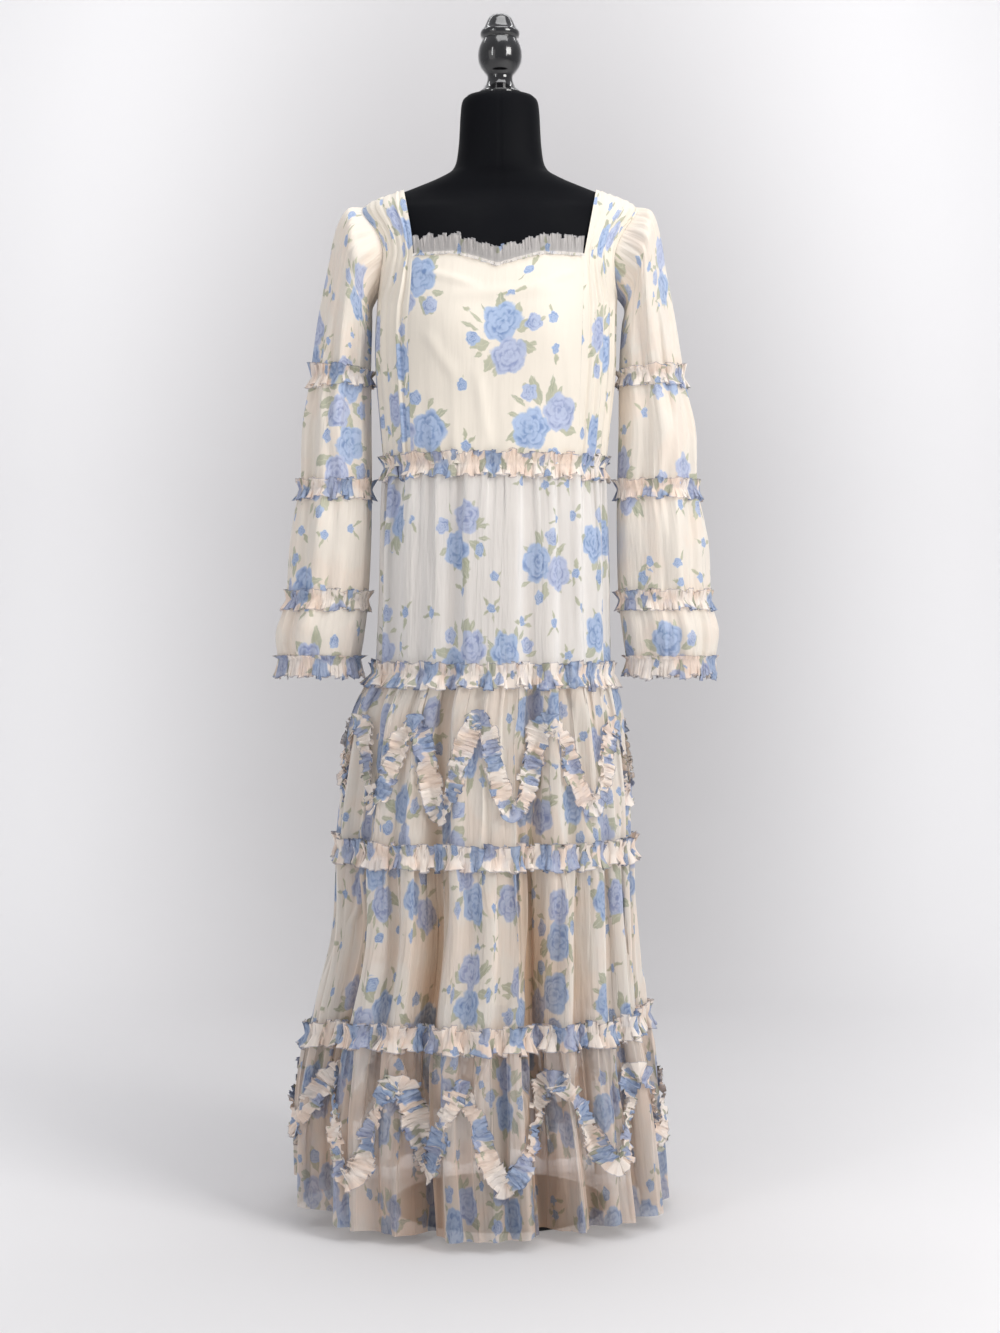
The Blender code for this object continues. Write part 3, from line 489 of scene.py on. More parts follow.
# %% Frill
Crinkle = namedtuple("Crinkle", "up down seed unevenness lowest")
FRILL_CRINKLES = (
    Crinkle(1, 1, 0, 0.95, 0.15),
    Crinkle(7, 3, 5, 0.9, 0.1),
    Crinkle(1, 4, 9, 0.9, 0.1),
    Crinkle(1, 2, 13, 0.9, 0.0),
)
FRILL_FULLNESS = 0.8
Gathered = namedtuple("Gathered", "wave_length depth seed clear")


def frill_grid(low, middle, high, closed, gathered, rows):
    """The points of a frill whose edges lie near the lines low and high, stitched along the middle.

    Four crinkles are laid over each other: its own waves, fine ones, broad ones and a ragged edge. Each
    has up crests for every down waves.
    """
    along = lengths(middle, closed)
    total = along[-1]
    along = along[: len(middle)]
    crests = round(total / gathered.wave_length)
    if closed:
        tangent = unit(np.roll(middle, -1, axis=0) - np.roll(middle, 1, axis=0))
    else:
        tangent = unit(np.gradient(middle, axis=0))
    out = unit(np.cross(tangent, high - low))
    grid = []
    for share in np.linspace(-1, 1, 2 * rows + 1):
        edge, number = (low, 0) if share < 0 else (high, 1)
        ripples = []
        for kind in FRILL_CRINKLES:
            count = max(kind.up * crests // kind.down, 2)
            seed = gathered.seed + kind.seed + number
            ripples.append(ripple(along, total, count, seed, kind.unevenness, kind.lowest))
        (wave, lean), (fine, side), (broad, _), (ragged, _) = ripples
        reach = abs(share)
        # The numbers are shares of the frill's depth, its wave length and its half width.
        swing = 0.42 + 0.34 * wave + 0.30 * broad * reach + 0.22 * fine * (0.4 + reach)
        swing = gathered.clear + np.maximum(gathered.depth * swing * reach**0.9, 0)
        sway = gathered.wave_length * (0.24 * lean * reach**0.8 + 0.08 * side * reach)
        fall = reach * (1 + 0.22 * ragged * reach - 0.18 * reach * (1 + wave) / 2 + 0.06 * fine * reach)
        place = middle + (edge - middle) * fall[:, None]
        grid.append(place + out * swing[:, None] + tangent * sway[:, None])
    return np.array(grid)


def add_frill(name, lines, gathered, finish, closed=True, rows=4):
    """A frill from its low, middle and high lines. Its free edges are stitched."""
    grid = frill_grid(*lines, closed, gathered, rows)
    edges = np.zeros(grid.shape[:2])
    edges[[0, -1]] = 1
    made = add_cloth(f"{name}_strip", grid, finish, closed, FRILL_FULLNESS, edges)
    stand_for(name)


# %% [markdown]
# ## Building node trees
#
# A material is a small calculation. These helpers add one step of it each and give back its result.
# Results can be added, multiplied and so on, so that the steps below read as sums.


# %% Node helpers
class Step:
    """One result in a node tree. Sums written with it add the nodes that work them out."""

    def __init__(self, tree, socket):
        self.tree = tree
        self.socket = socket

    def maths(self, operation, *values):
        return calculate(self.tree, "ShaderNodeMath", operation, self, *values)

    def vector(self, operation, *values, output=0):
        return calculate(self.tree, "ShaderNodeVectorMath", operation, self, *values, output=output)

    def length(self):
        return self.vector("LENGTH", output=1)

    def scaled(self, factor):
        return self.vector("SCALE", None, None, factor)

    def x_and_y(self):
        made = self.tree.nodes.new("ShaderNodeSeparateXYZ")
        feed(self, made.inputs[0])
        return [Step(self.tree, made.outputs[k]) for k in (0, 1)]

    def __add__(self, other):
        return self.maths("ADD", other)

    def __sub__(self, other):
        return self.maths("SUBTRACT", other)

    def __rsub__(self, other):
        return calculate(self.tree, "ShaderNodeMath", "SUBTRACT", other, self)

    def __mul__(self, other):
        return self.maths("MULTIPLY", other)

    def __truediv__(self, other):
        return self.maths("DIVIDE", other)

    def __rtruediv__(self, other):
        return calculate(self.tree, "ShaderNodeMath", "DIVIDE", other, self)


def feed(value, socket):
    """Joins a result to a socket, or sets the socket to a number or colour. None leaves it alone."""
    if isinstance(value, Step):
        value.tree.links.new(value.socket, socket)
    elif value is not None:
        socket.default_value = value


def set_inputs(node, **inputs):
    """Feeds a node's named inputs; spaces in an input's name are written as _."""
    for key, value in inputs.items():
        feed(value, node.inputs[key.replace("_", " ")])


def calculate(tree, kind, operation, *values, output=0):
    made = tree.nodes.new(kind)
    made.operation = operation
    for value, socket in zip(values, made.inputs):
        feed(value, socket)
    return Step(tree, made.outputs[output])


def add_node(tree, kind, output=0, settings=None, **inputs):
    """A node with its settings and named inputs; the result is one of its outputs."""
    made = tree.nodes.new(kind)
    for key, value in (settings or {}).items():
        setattr(made, key, value)
    set_inputs(made, **inputs)
    return Step(tree, made.outputs[output])


def mixed(factor, first, second, blend="MIX"):
    """first where the factor is 0, and second, or their blend, where it is 1."""
    made = factor.tree.nodes.new("ShaderNodeMix")
    made.data_type = "RGBA"
    made.blend_type = blend
    for number, value in ((0, factor), (6, first), (7, second)):
        feed(value, made.inputs[number])
    return Step(factor.tree, made.outputs[2])


def ramped(value, low, high, start=0.0, end=1.0):
    """A soft rise from start to end as the value goes from low to high."""
    made = value.tree.nodes.new("ShaderNodeMapRange")
    made.interpolation_type = "SMOOTHSTEP"
    for part, socket in zip((value, low, high, start, end), made.inputs):
        feed(part, socket)
    return Step(value.tree, made.outputs[0])


def noise(vector, scale, detail=2.0, dimensions="2D", output=0):
    """Soft random patches; output 0 is one value and output 1 is three."""
    settings = {"noise_dimensions": dimensions}
    return add_node(
        vector.tree, "ShaderNodeTexNoise", output, settings, Vector=vector, Scale=scale, Detail=detail
    )


def together(x, y):
    return add_node(x.tree, "ShaderNodeCombineXYZ", X=x, Y=y)


def new_group(name, inputs, outputs):
    """An empty node group, its inputs by name and its own outputs."""
    tree = bpy.data.node_groups.new(name, "ShaderNodeTree")
    for label, kind, value in inputs:
        socket = tree.interface.new_socket(label, in_out="INPUT", socket_type=kind)
        if value is not None:
            socket.default_value = value
    for label, kind in outputs:
        tree.interface.new_socket(label, in_out="OUTPUT", socket_type=kind)
    sockets = tree.nodes.new("NodeGroupInput").outputs
    given = {label: Step(tree, sockets[label]) for label, _, _ in inputs}
    return tree, given, tree.nodes.new("NodeGroupOutput").inputs


def use_group(tree, group, **inputs):
    """A group placed in a tree; the result is its outputs by name."""
    made = tree.nodes.new("ShaderNodeGroup")
    made.node_tree = group
    set_inputs(made, **inputs)
    return {socket.name: Step(tree, socket) for socket in made.outputs}


def paint(code):
    """A colour written as six hexadecimal digits, as the linear values that a shader reads."""
    parts = [int(code[k : k + 2], 16) / 255 for k in (0, 2, 4)]
    return (*[part / 12.92 if part <= 0.04045 else ((part + 0.055) / 1.055) ** 2.4 for part in parts], 1)


FLOAT, VECTOR, COLOUR = "NodeSocketFloat", "NodeSocketVector", "NodeSocketColor"

# %% [markdown]
# ## One painted rose
#
# The print is an ordinary one: soft roses in watercolour blues, with sage leaves. I drew these afresh
# from simple curves. A rose is four scalloped rounds, each smaller and a little off the one under it.
# A round is pale at its rim and deep at its foot, and its petals part where the scallops meet.


# %% Rose
Round = namedtuple("Round", "size petals start shift")
ROUNDS = rows_of(Round, [
    (1.00, 5, 0.0, (0.00, 0.00, 0)),
    (0.77, 5, 1.3, (0.05, 0.05, 0)),
    (0.54, 4, 0.5, (-0.03, 0.09, 0)),
    (0.31, 3, 2.2, (0.03, 0.07, 0)),
])
SCALLOP = 0.20  # how deep a rim is scalloped, for a round of size 1
RIM_BLUR = (-0.04, 0.09)
TONE_FROM_RIM = (0.03, 0.27, 1.0, 0.22)
TONE_AT_PARTING = (0.0, 0.45, 0.55, 1.0)


def make_rose():
    inputs = [
        ("Place", VECTOR, None), ("Centre", VECTOR, None), ("Radius", FLOAT, 0.02), ("Turn", FLOAT, 0.0),
    ]
    tree, given, result = new_group("painted rose", inputs, [("Mask", FLOAT), ("Shade", FLOAT)])
    away = given["Place"].vector("SUBTRACT", given["Centre"]).scaled(1.0 / given["Radius"])
    shade = None
    for part in ROUNDS:
        moved = away.vector("SUBTRACT", part.shift)
        x, y = moved.x_and_y()
        angle = y.maths("ARCTAN2", x) + given["Turn"] + part.start
        scallop = (angle * (part.petals / 2)).maths("SINE").maths("ABSOLUTE")
        inside = scallop * (SCALLOP * part.size) + (1 - SCALLOP) * part.size - moved.length()
        covers = ramped(inside, *RIM_BLUR)
        tone = ramped(inside, *TONE_FROM_RIM) * ramped(scallop, *TONE_AT_PARTING)
        if shade is None:
            shade = tone
            feed(covers, result["Mask"])
        else:
            shade = (tone - shade) * covers + shade
    feed(shade, result["Shade"])
    return tree


ROSE = make_rose()

# %% [markdown]
# ## Leaves round a stalk
#
# Leaves come out of a middle like spokes. The plane is cut into equal slices round it, and one pointed
# leaf is drawn in a slice. Each slice has its own number, which makes some leaves longer and leaves
# some out, so that no two bunches are alike.


# %% Leaves
LEAF_BLUR = (-0.0004, 0.0018)
VEIN_BLUR = (0.0002, 0.0010)


def make_leaves():
    inputs = [
        ("Place", VECTOR, None), ("Count", FLOAT, 9.0), ("Start", FLOAT, 0.015), ("Length", FLOAT, 0.03),
        ("Width", FLOAT, 0.009), ("Missing", FLOAT, 0.4), ("Seed", FLOAT, 0.0),
    ]
    tree, given, result = new_group("leaves", inputs, [("Mask", FLOAT), ("Vein", FLOAT), ("Chance", FLOAT)])
    x, y = given["Place"].x_and_y()
    slices = given["Count"] / math.tau
    turned = y.maths("ARCTAN2", x) * slices
    own = together(turned.maths("FLOOR"), given["Seed"])
    chances = add_node(tree, "ShaderNodeTexWhiteNoise", 1, {"noise_dimensions": "2D"}, Vector=own)
    chance, other = chances.x_and_y()
    angle = (turned.maths("FRACT") + (other * 0.4 - 0.7)) / slices
    radius = given["Place"].length()
    along = radius * angle.maths("COSINE") - given["Start"]
    beside = (radius * angle.maths("SINE")).maths("ABSOLUTE")
    share = along / (given["Length"] * (other * 0.5 + 0.6))
    half = given["Width"] * (share * (1.0 - share) * 2.0)
    shown = chance.maths("GREATER_THAN", given["Missing"])
    feed(ramped(half - beside, *LEAF_BLUR) * shown, result["Mask"])
    feed(ramped(beside, *VEIN_BLUR), result["Vein"])
    feed(other, result["Chance"])
    return tree


LEAVES = make_leaves()

# %% [markdown]
# ## The whole print
#
# Bunches of two big roses and two small ones lie about fifteen centimetres apart, each turned its own
# way, with small sprigs between them. A cell texture gives each bunch its middle and its own chances.
# The cloth is warped a little first, so that no edge is drawn too cleanly, as with wet paint. Depth
# makes the inks darker, as where gathered layers of mesh lie over each other.

# %% Flower print
BUNCH_SPACING = 0.152
SPRIG_SPACING = 0.060
SPRIG_CLEARANCE = (0.054, 0.058)  # from a bunch's middle
WARP = 0.0090
BLOT_SCALE = 85.0
WASH_SCALE = 75.0
ROSE_TONES = (-0.25, 0.95)

LeafRing = namedtuple("LeafRing", "Count Start Length Width Missing")
SPRIG_LEAVES = LeafRing(5.0, 0.003, 0.022, 0.0068, 0.52)
BUNCH_LEAVES = (LeafRing(8.0, 0.018, 0.044, 0.0170, 0.30), LeafRing(17.0, 0.034, 0.026, 0.0080, 0.5))
PaintedRose = namedtuple("PaintedRose", "centre radius deep light")
BUNCH_ROSES = rows_of(PaintedRose, [
    ((-0.019, 0.010, 0), 0.0290, "6484b8", "abbfdf"),
    ((0.024, -0.009, 0), 0.0265, "7d8cbb", "b9c3de"),
    ((0.014, 0.041, 0), 0.0125, "7f91c0", "b9c5e0"),
    ((-0.022, -0.037, 0), 0.0105, "6080b6", "aec0de"),
])


def make_cells(cloth, spacing, randomness):
    """The place of a point from the middle of its cell, turned its own way, and two random values."""
    tree = cloth.tree
    cells = tree.nodes.new("ShaderNodeTexVoronoi")
    cells.voronoi_dimensions = "2D"
    set_inputs(cells, Vector=cloth, Scale=1 / spacing, Randomness=randomness)
    first, second = Step(tree, cells.outputs["Color"]).x_and_y()
    from_middle = cloth.vector("SUBTRACT", Step(tree, cells.outputs["Position"]))
    settings = {"rotation_type": "Z_AXIS"}
    turned = add_node(
        tree, "ShaderNodeVectorRotate", 0, settings, Vector=from_middle, Angle=first * math.tau
    )
    return turned, first, second


def make_print():
    inputs = [
        ("Cloth", VECTOR, None), ("Ground", COLOUR, (1, 1, 1, 1)),
        ("Strength", FLOAT, 1.0), ("Depth", FLOAT, 0.0),
    ]
    tree, given, result = new_group("flower print", inputs, [("Colour", COLOUR), ("Mask", FLOAT)])
    blots = noise(given["Cloth"], BLOT_SCALE, 4.0, output=1)
    shift = blots.vector("SUBTRACT", (0.5, 0.5, 0.5)).scaled(WARP)
    cloth = given["Cloth"].vector("ADD", shift)
    bunch, _, other = make_cells(cloth, BUNCH_SPACING, 0.55)
    sprig, small_chance, small_other = make_cells(cloth, SPRIG_SPACING, 0.8)
    wash = noise(given["Cloth"], WASH_SCALE, 4.0)

    # Small sprigs between the bunches: a few leaves round a bud.
    present = ramped(bunch.length(), *SPRIG_CLEARANCE) * small_chance.maths("GREATER_THAN", 0.25)
    spokes = use_group(tree, LEAVES, Place=sprig, Seed=small_other, **SPRIG_LEAVES._asdict())
    bud = use_group(tree, ROSE, Place=sprig, Centre=(0.001, 0.001, 0), Radius=0.0075, Turn=small_other)
    parts = [
        (spokes["Mask"] * present * 0.80, mixed(wash, paint("bdbd9f"), paint("8d957a"))),
        (bud["Mask"] * present, mixed(bud["Shade"], paint("7792c0"), paint("b5c5e0"))),
    ]

    # The leaves behind a bunch, long ones and short ones.
    for ring in BUNCH_LEAVES:
        spokes = use_group(tree, LEAVES, Place=bunch, Seed=other, **ring._asdict())
        green = mixed(spokes["Chance"], paint("adb096"), paint("8c9782"))
        green = mixed(spokes["Vein"], paint("c4c6ae"), green)
        parts.append((spokes["Mask"] * 0.85, mixed(wash, green, paint("bdbda4"))))

    # Two big roses, a small one and a bud.
    for number, (centre, radius, deep, light) in enumerate(BUNCH_ROSES):
        turn = other * math.tau + 2.1 * number
        rose = use_group(tree, ROSE, Place=bunch, Centre=centre, Radius=radius, Turn=turn)
        shade = (wash - 0.5) * 1.5 + rose["Shade"]
        petals = mixed(ramped(shade, *ROSE_TONES), paint(deep), paint(light))
        parts.append((rose["Mask"] * 0.94, petals))

    thinner = 1.0 - given["Depth"] * 0.5
    colour, mask = given["Ground"], 0.0
    for part, ink in parts:
        cover = part * given["Strength"]
        colour = mixed(cover, colour, ink.scaled(thinner))
        mask = cover.maths("MAXIMUM", mask)
    feed(colour, result["Colour"])
    feed(mask, result["Mask"])
    return tree


PRINT = make_print()
print("the print has", len(PRINT.nodes), "steps")

# %% [markdown]
# ## Threads and small crinkles
#
# A mesh is a net of fine threads, and no gathered cloth lies quite flat between its folds. One group
# gives both to every cloth: a height made of two crossing sets of threads and of soft crinkles that
# run down the cloth, and a value that varies a little from place to place.


# %% Cloth surface
THREAD_HEIGHT = 0.00006
CRINKLE_HEIGHT = 0.0045
CRINKLE_SCALE = 85.0
CRINKLE_PULL = 0.14  # how much the crinkles are drawn out up and down
PATCH_SCALE = 14.0


def make_threads():
    inputs = [("Cloth", VECTOR, None), ("Thread", FLOAT, 0.0011), ("Crinkle", FLOAT, 1.0)]
    tree, given, result = new_group("threads", inputs, [("Height", FLOAT), ("Patchiness", FLOAT)])
    x, y = given["Cloth"].x_and_y()
    turn = math.tau / given["Thread"]
    warp = ((x + y) * turn).maths("SINE")
    weft = ((x - y) * turn).maths("SINE")
    threads = warp.maths("MAXIMUM", weft) * THREAD_HEIGHT
    soft = noise(together(x, y * CRINKLE_PULL), CRINKLE_SCALE, 3.0)
    crinkle = soft * given["Crinkle"] * CRINKLE_HEIGHT
    feed(threads + crinkle, result["Height"])
    feed(noise(given["Cloth"], PATCH_SCALE, 3.0), result["Patchiness"])
    return tree


THREADS = make_threads()

# %% [markdown]
# ## Cloth materials
#
# All the dress's cloths are made alike: printed or plain, thin or thick. The troughs of folds get painted
# shade: their colour is multiplied by a warm tan, for the shade in a fold and the light that reaches it
# through cream cloth. A thin mesh lets part of the light through, and looks denser where it is seen edge
# on. For a shadow only its average matters, so a lamp's ray gets one plain value and skips the print.


# %% Cloth material
PEACH = "efd0ba"
# The colour of the painted shade in the troughs of folds, and the fold depths over which it comes in.
PAINTED_TROUGH_SHADE = "c9ab8e"
EDGE_STITCH = "66708a"
TROUGH_DEPTHS = (0.006, 0.048)
PEACH_PATCHES = (0.42, 0.62)
STITCHED_EDGE = (0.55, 0.95)
EDGE_ON_COVER = 0.6
PRINT_COVER = 0.15


def new_material(name):
    made = bpy.data.materials.new(name)
    made.use_nodes = True
    tree = made.node_tree
    return made, tree, tree.nodes["Principled BSDF"], tree.nodes["Material Output"]


def make_clear(tree, factor, shader, output, share=1.0):
    """The surface lets a share of the light through where the factor is 1."""
    clear = tree.nodes.new("ShaderNodeBsdfTransparent")
    clear.inputs["Color"].default_value = (share, share, share, 1)
    choice = tree.nodes.new("ShaderNodeMixShader")
    feed(factor, choice.inputs[0])
    tree.links.new(shader.outputs[0], choice.inputs[1])
    tree.links.new(clear.outputs[0], choice.inputs[2])
    tree.links.new(choice.outputs[0], output.inputs["Surface"])


def make_cloth(
    name, ground, printed, cover, roughness=0.8, sheen=0.25, crinkle=1.0, trough_shade=0.5, thread=0.0011, depth=0.0,
    blush=0.0, lets_through=0.0, edged=0.0,
):
    """A cloth finish. cover is how much of the view it blocks; 1 is opaque. blush is its share of peach.

    An edged cloth has dark stitches where its inset value is 1, along its free edges.
    """
    made, tree, shader, output = new_material(name)
    cloth = add_node(tree, "ShaderNodeUVMap", settings={"uv_map": "cloth"})
    threads = use_group(tree, THREADS, Cloth=cloth, Thread=thread, Crinkle=crinkle)
    patchiness = threads["Patchiness"]
    inset = add_node(tree, "ShaderNodeAttribute", 2, {"attribute_name": "inset"})
    colour = mixed(ramped(patchiness, *PEACH_PATCHES) * blush, paint(ground), paint(PEACH))
    if printed:
        pattern = use_group(tree, PRINT, Cloth=cloth, Ground=colour, Strength=printed, Depth=depth)
        colour = pattern["Colour"]
    if edged:
        colour = mixed(ramped(inset, *STITCHED_EDGE) * edged, colour, paint(EDGE_STITCH))
    # Painted shade: the deeper a point lies in a fold, the more its colour is multiplied by a warm tan.
    trough_shaded = mixed(ramped(inset, *TROUGH_DEPTHS) * trough_shade, colour, paint(PAINTED_TROUGH_SHADE), "MULTIPLY")
    bump = add_node(tree, "ShaderNodeBump", Height=threads["Height"], Distance=1.0, Strength=0.6)
    set_inputs(
        shader, Base_Color=trough_shaded.scaled(patchiness * 0.10 + 0.95), Roughness=roughness, Sheen_Weight=sheen,
        Sheen_Roughness=0.5, Specular_IOR_Level=0.35, Normal=bump,
    )
    if cover < 1:
        edge_on = add_node(tree, "ShaderNodeLayerWeight", "Facing", Blend=0.35)
        dense = edge_on * EDGE_ON_COVER + cover
        if printed:
            dense = pattern["Mask"] * PRINT_COVER + dense
        feed(dense.maths("MINIMUM", 1.0), shader.inputs["Alpha"])
        ray = add_node(tree, "ShaderNodeLightPath", "Is Shadow Ray")
        make_clear(tree, ray, shader, output, max(1 - min(cover + 0.1, 1), lets_through))
    return made


BODICE_CLOTH = make_cloth("bodice mesh over lining", "efe6d8", 1.0, 1.0, roughness=0.5, crinkle=0.3, trough_shade=0.3)
SLEEVE_CLOTH = make_cloth("sleeve mesh", "efe6da", 0.95, 0.90, crinkle=1.0, blush=0.2)
SKIRT_CLOTH = make_cloth(
    "skirt mesh", "ece8e4", 1.0, 0.74, crinkle=1.2, trough_shade=0.9, depth=0.10, lets_through=0.3
)
LOWER_CLOTH = make_cloth(
    "lower skirt mesh", "eee6dc", 1.0, 0.70, crinkle=1.3, trough_shade=0.9, depth=0.30, blush=0.25, lets_through=0.35
)
SHEER_CLOTH = make_cloth(
    "sheer skirt mesh", "e6d9ce", 1.0, 0.50, crinkle=1.3, trough_shade=0.7, depth=0.50, blush=0.4, lets_through=0.6
)
FRILL_CLOTH = make_cloth(
    "frill mesh", "fbf0e6", 1.0, 0.70, crinkle=1.8, trough_shade=0.0, depth=0.40, blush=0.55, lets_through=0.6,
    edged=0.6,
)
NECK_CLOTH = make_cloth(
    "neck frill mesh", "e0dbd8", 1.0, 0.56, crinkle=0.8, trough_shade=0.0, depth=0.20, lets_through=0.5, edged=0.3
)
LINING_CLOTH = make_cloth(
    "lining", "efddc5", 0.0, 1.0, roughness=0.45, sheen=0.1, crinkle=0.15, thread=0.0007
)

# %% [markdown]
# ## Form and stand materials
#
# The form is padded and covered with a tight black jersey. Its ends are turned wood under gloss lacquer.
# The pole and base are steel with a satin black coat.


# %% Form and stand
def make_jersey():
    made, tree, shader, _ = new_material("form jersey")
    place = add_node(tree, "ShaderNodeTexCoord", "Object")
    settings = {"bands_direction": "X"}
    ribs = add_node(tree, "ShaderNodeTexWave", 1, settings, Vector=place, Scale=420.0, Distortion=1.2)
    patches = noise(place, 9.0, 3.0, "3D")
    set_inputs(
        shader,
        Base_Color=mixed(patches, paint("05060a"), paint("090a10")),
        Roughness=ramped(patches, 0.2, 0.8, 0.60, 0.78),
        Specular_IOR_Level=0.1,
        Sheen_Weight=0.015,
        Sheen_Roughness=0.4,
        Normal=add_node(tree, "ShaderNodeBump", Height=ribs, Distance=0.0001, Strength=0.5),
    )
    return made


def make_coat(name, colour, roughness, metallic, coat):
    """A hard glossy or satin finish, with a little orange peel and a few rubbed places."""
    made, tree, shader, _ = new_material(name)
    place = add_node(tree, "ShaderNodeTexCoord", "Object")
    peel = noise(place, 380.0, 2.0, "3D")
    rubbed = noise(place, 22.0, 4.0, "3D")
    set_inputs(
        shader,
        Base_Color=mixed(ramped(rubbed, 0.45, 0.75, 0.0, 0.5), paint(colour), paint("2a2b2e")),
        Roughness=ramped(rubbed, 0.3, 0.8, roughness, roughness + 0.12),
        Metallic=metallic,
        Coat_Weight=coat,
        Normal=add_node(tree, "ShaderNodeBump", Height=peel, Distance=0.00008, Strength=0.4),
    )
    return made


FORM_JERSEY = make_jersey()
LACQUER = make_coat("black lacquer", "08080a", 0.12, 0.0, 1.0)
STAND_COAT = make_coat("satin black coat", "121214", 0.38, 0.6, 0.0)
print(len(bpy.data.materials), "materials")

# %% [markdown]
# ## The form
#
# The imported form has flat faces, which suit the simulation. Here the same outlines are drawn with many
# more points, with the general roundness of a bust in front. The jersey is sewn down the middle of the
# front and back and at the sides, which leaves a thin sunken line.

# %% Form torso
BUST_X = 0.072
BUST_HEIGHT = 1.212
BUST_SPREAD_X = 0.050
BUST_SPREAD_Z = 0.055
BUST_FRONT = 0.06
FORM_BUST = 0.013
BODICE_BUST = 0.010
FORM_ROWS = 150
FORM_COLUMNS = 160
FORM_SEAM_DEPTH = 0.0009
FORM_SEAM_WIDTH = 0.9  # in degrees
END_RISE = 0.0002
END_RINGS = (0.96, 0.5, 0.02)  # of the last ring's size


def with_bust(points, depth):
    """The points moved forward by the roundness of the bust, on the front only."""
    share = np.clip(-points[..., 1] / BUST_FRONT, 0, 1)
    forward = 0.0
    for side in (-1, 1):
        aside = (points[..., 0] - side * BUST_X) / BUST_SPREAD_X
        above = (points[..., 2] - BUST_HEIGHT) / BUST_SPREAD_Z
        forward = forward + np.exp(-(aside**2) - above**2)
    moved = points.copy()
    moved[..., 1] -= depth * forward * share
    return moved


def form_point(angle, height):
    return with_bust(oval(FORM, angle, height), FORM_BUST)


def add_form():
    known = np.array(FORM)[:, 0]
    heights = np.interp(np.linspace(0, len(FORM) - 1, FORM_ROWS), np.arange(len(FORM)), known)
    angles, levels = np.meshgrid(360 * np.arange(FORM_COLUMNS) / FORM_COLUMNS, heights)
    seam = sum(np.exp(-((away_from(angles, middle) / FORM_SEAM_WIDTH) ** 2)) for middle in (0, 90, 180, 270))
    grid = form_point(angles, levels)
    grid -= outward(grid, True) * (FORM_SEAM_DEPTH * seam)[..., None]
    for end, rise in ((grid[:1], -END_RISE), (grid[-1:], END_RISE)):
        middle = end.mean(axis=1, keepdims=True) + np.array([0, 0, rise])
        rings = [middle + (end - middle) * share for share in END_RINGS]
        grid = np.concatenate([*rings[::-1], grid] if rise < 0 else [grid, *rings])
    made = add_grid("form_shell", grid, FORM_JERSEY, True)[0]
    stand_for("form_torso")
    return made


FORM_SHELL = add_form()
print("form shell has", len(FORM_SHELL.data.polygons), "faces")

# %% [markdown]
# ## The turned ends
#
# A finial is turned on a lathe, so its profile is drawn once and spun. Where the tool cut a groove, two
# profile points lie close together and keep that edge crisp.

# %% Finial and plate
CAP_TOP = 1.5515
PLATE_BOTTOM = 0.6857
TURNED_SIDES = 96
SMALLEST_RADIUS = 0.0002
FINIAL = [
    (-0.0030, 0.0000), (-0.0030, 0.0320), (-0.0026, 0.0325), (0.0020, 0.0325), (0.0030, 0.0318),
    (0.0055, 0.0285), (0.0090, 0.0245), (0.0140, 0.0205), (0.0200, 0.0182), (0.0245, 0.0176),
    (0.0275, 0.0182), (0.0320, 0.0218), (0.0380, 0.0265), (0.0450, 0.0298), (0.0530, 0.0311),
    (0.0600, 0.0309), (0.0670, 0.0295), (0.0735, 0.0267), (0.0783, 0.0242), (0.0790, 0.0240),
    (0.0796, 0.0248), (0.0815, 0.0268), (0.0840, 0.0277), (0.0870, 0.0276), (0.0892, 0.0268),
    (0.0900, 0.0256), (0.0935, 0.0234), (0.0970, 0.0212), (0.1020, 0.0190), (0.1070, 0.0163),
    (0.1105, 0.0126), (0.1128, 0.0075), (0.1135, 0.0003),
]
PLATE = [
    (0.0, 0.0), (0.0, 0.0445), (0.0006, 0.0462), (0.0020, 0.0480), (0.0130, 0.0480), (0.0140, 0.0475),
    (0.0140, 0.0),
]


def add_turned(name, profile, base, node):
    """A turned piece from (height, radius) rows above a base height."""
    angle = math.tau * np.arange(TURNED_SIDES) / TURNED_SIDES
    ring = np.stack([np.sin(angle), -np.cos(angle), 0 * angle], axis=-1)
    rows = [ring * max(radius, SMALLEST_RADIUS) + np.array([0, 0, rise + base]) for rise, radius in profile]
    made = add_grid(name, np.array(rows), LACQUER, True)[0]
    stand_for(node)


add_turned("turned_finial", FINIAL, CAP_TOP, "form_finial")
add_turned("turned_plate", PLATE, PLATE_BOTTOM, "form_underplate")
for node in ("stand_pole", "stand_socket", "stand_base"):
    frame["nodes"][node].data.materials[0] = STAND_COAT
print("finial and plate are turned")

# %% [markdown]
# ## The bodice's surface
#
# The bodice hangs a little away from the form below and lies on it at the shoulders. A pattern cutter
# works with flat pieces, but here each piece is a patch of one surface, so that seams meet exactly.

# %% Bodice surface
CLOTH = 0.0015
ON_FORM_FROM = 1.300
ON_FORM_AT = 1.372
SHOULDER_EASE = 0.0025
NECK_EDGE = 1.317
NECK_DIP = 0.018
NECK_DIP_HALF_WIDTH = 0.055
SHOULDER_INNER = 1.4165
PRINCESS_TOP = 0.114
PRINCESS_WAIST = 0.104
STRAP_TOP = 0.1336
BISECTIONS = 24
BACK_NECK = 1.372
METRES_PER_DEGREE = 0.0028
ARMHOLE = [
    (1.270, 0), (1.282, 10), (1.296, 16), (1.312, 20.5), (1.329, 23), (1.346, 23.2),
    (1.361, 22), (1.374, 18.5), (1.384, 13.5), (1.391, 7), (1.394, 0),
]


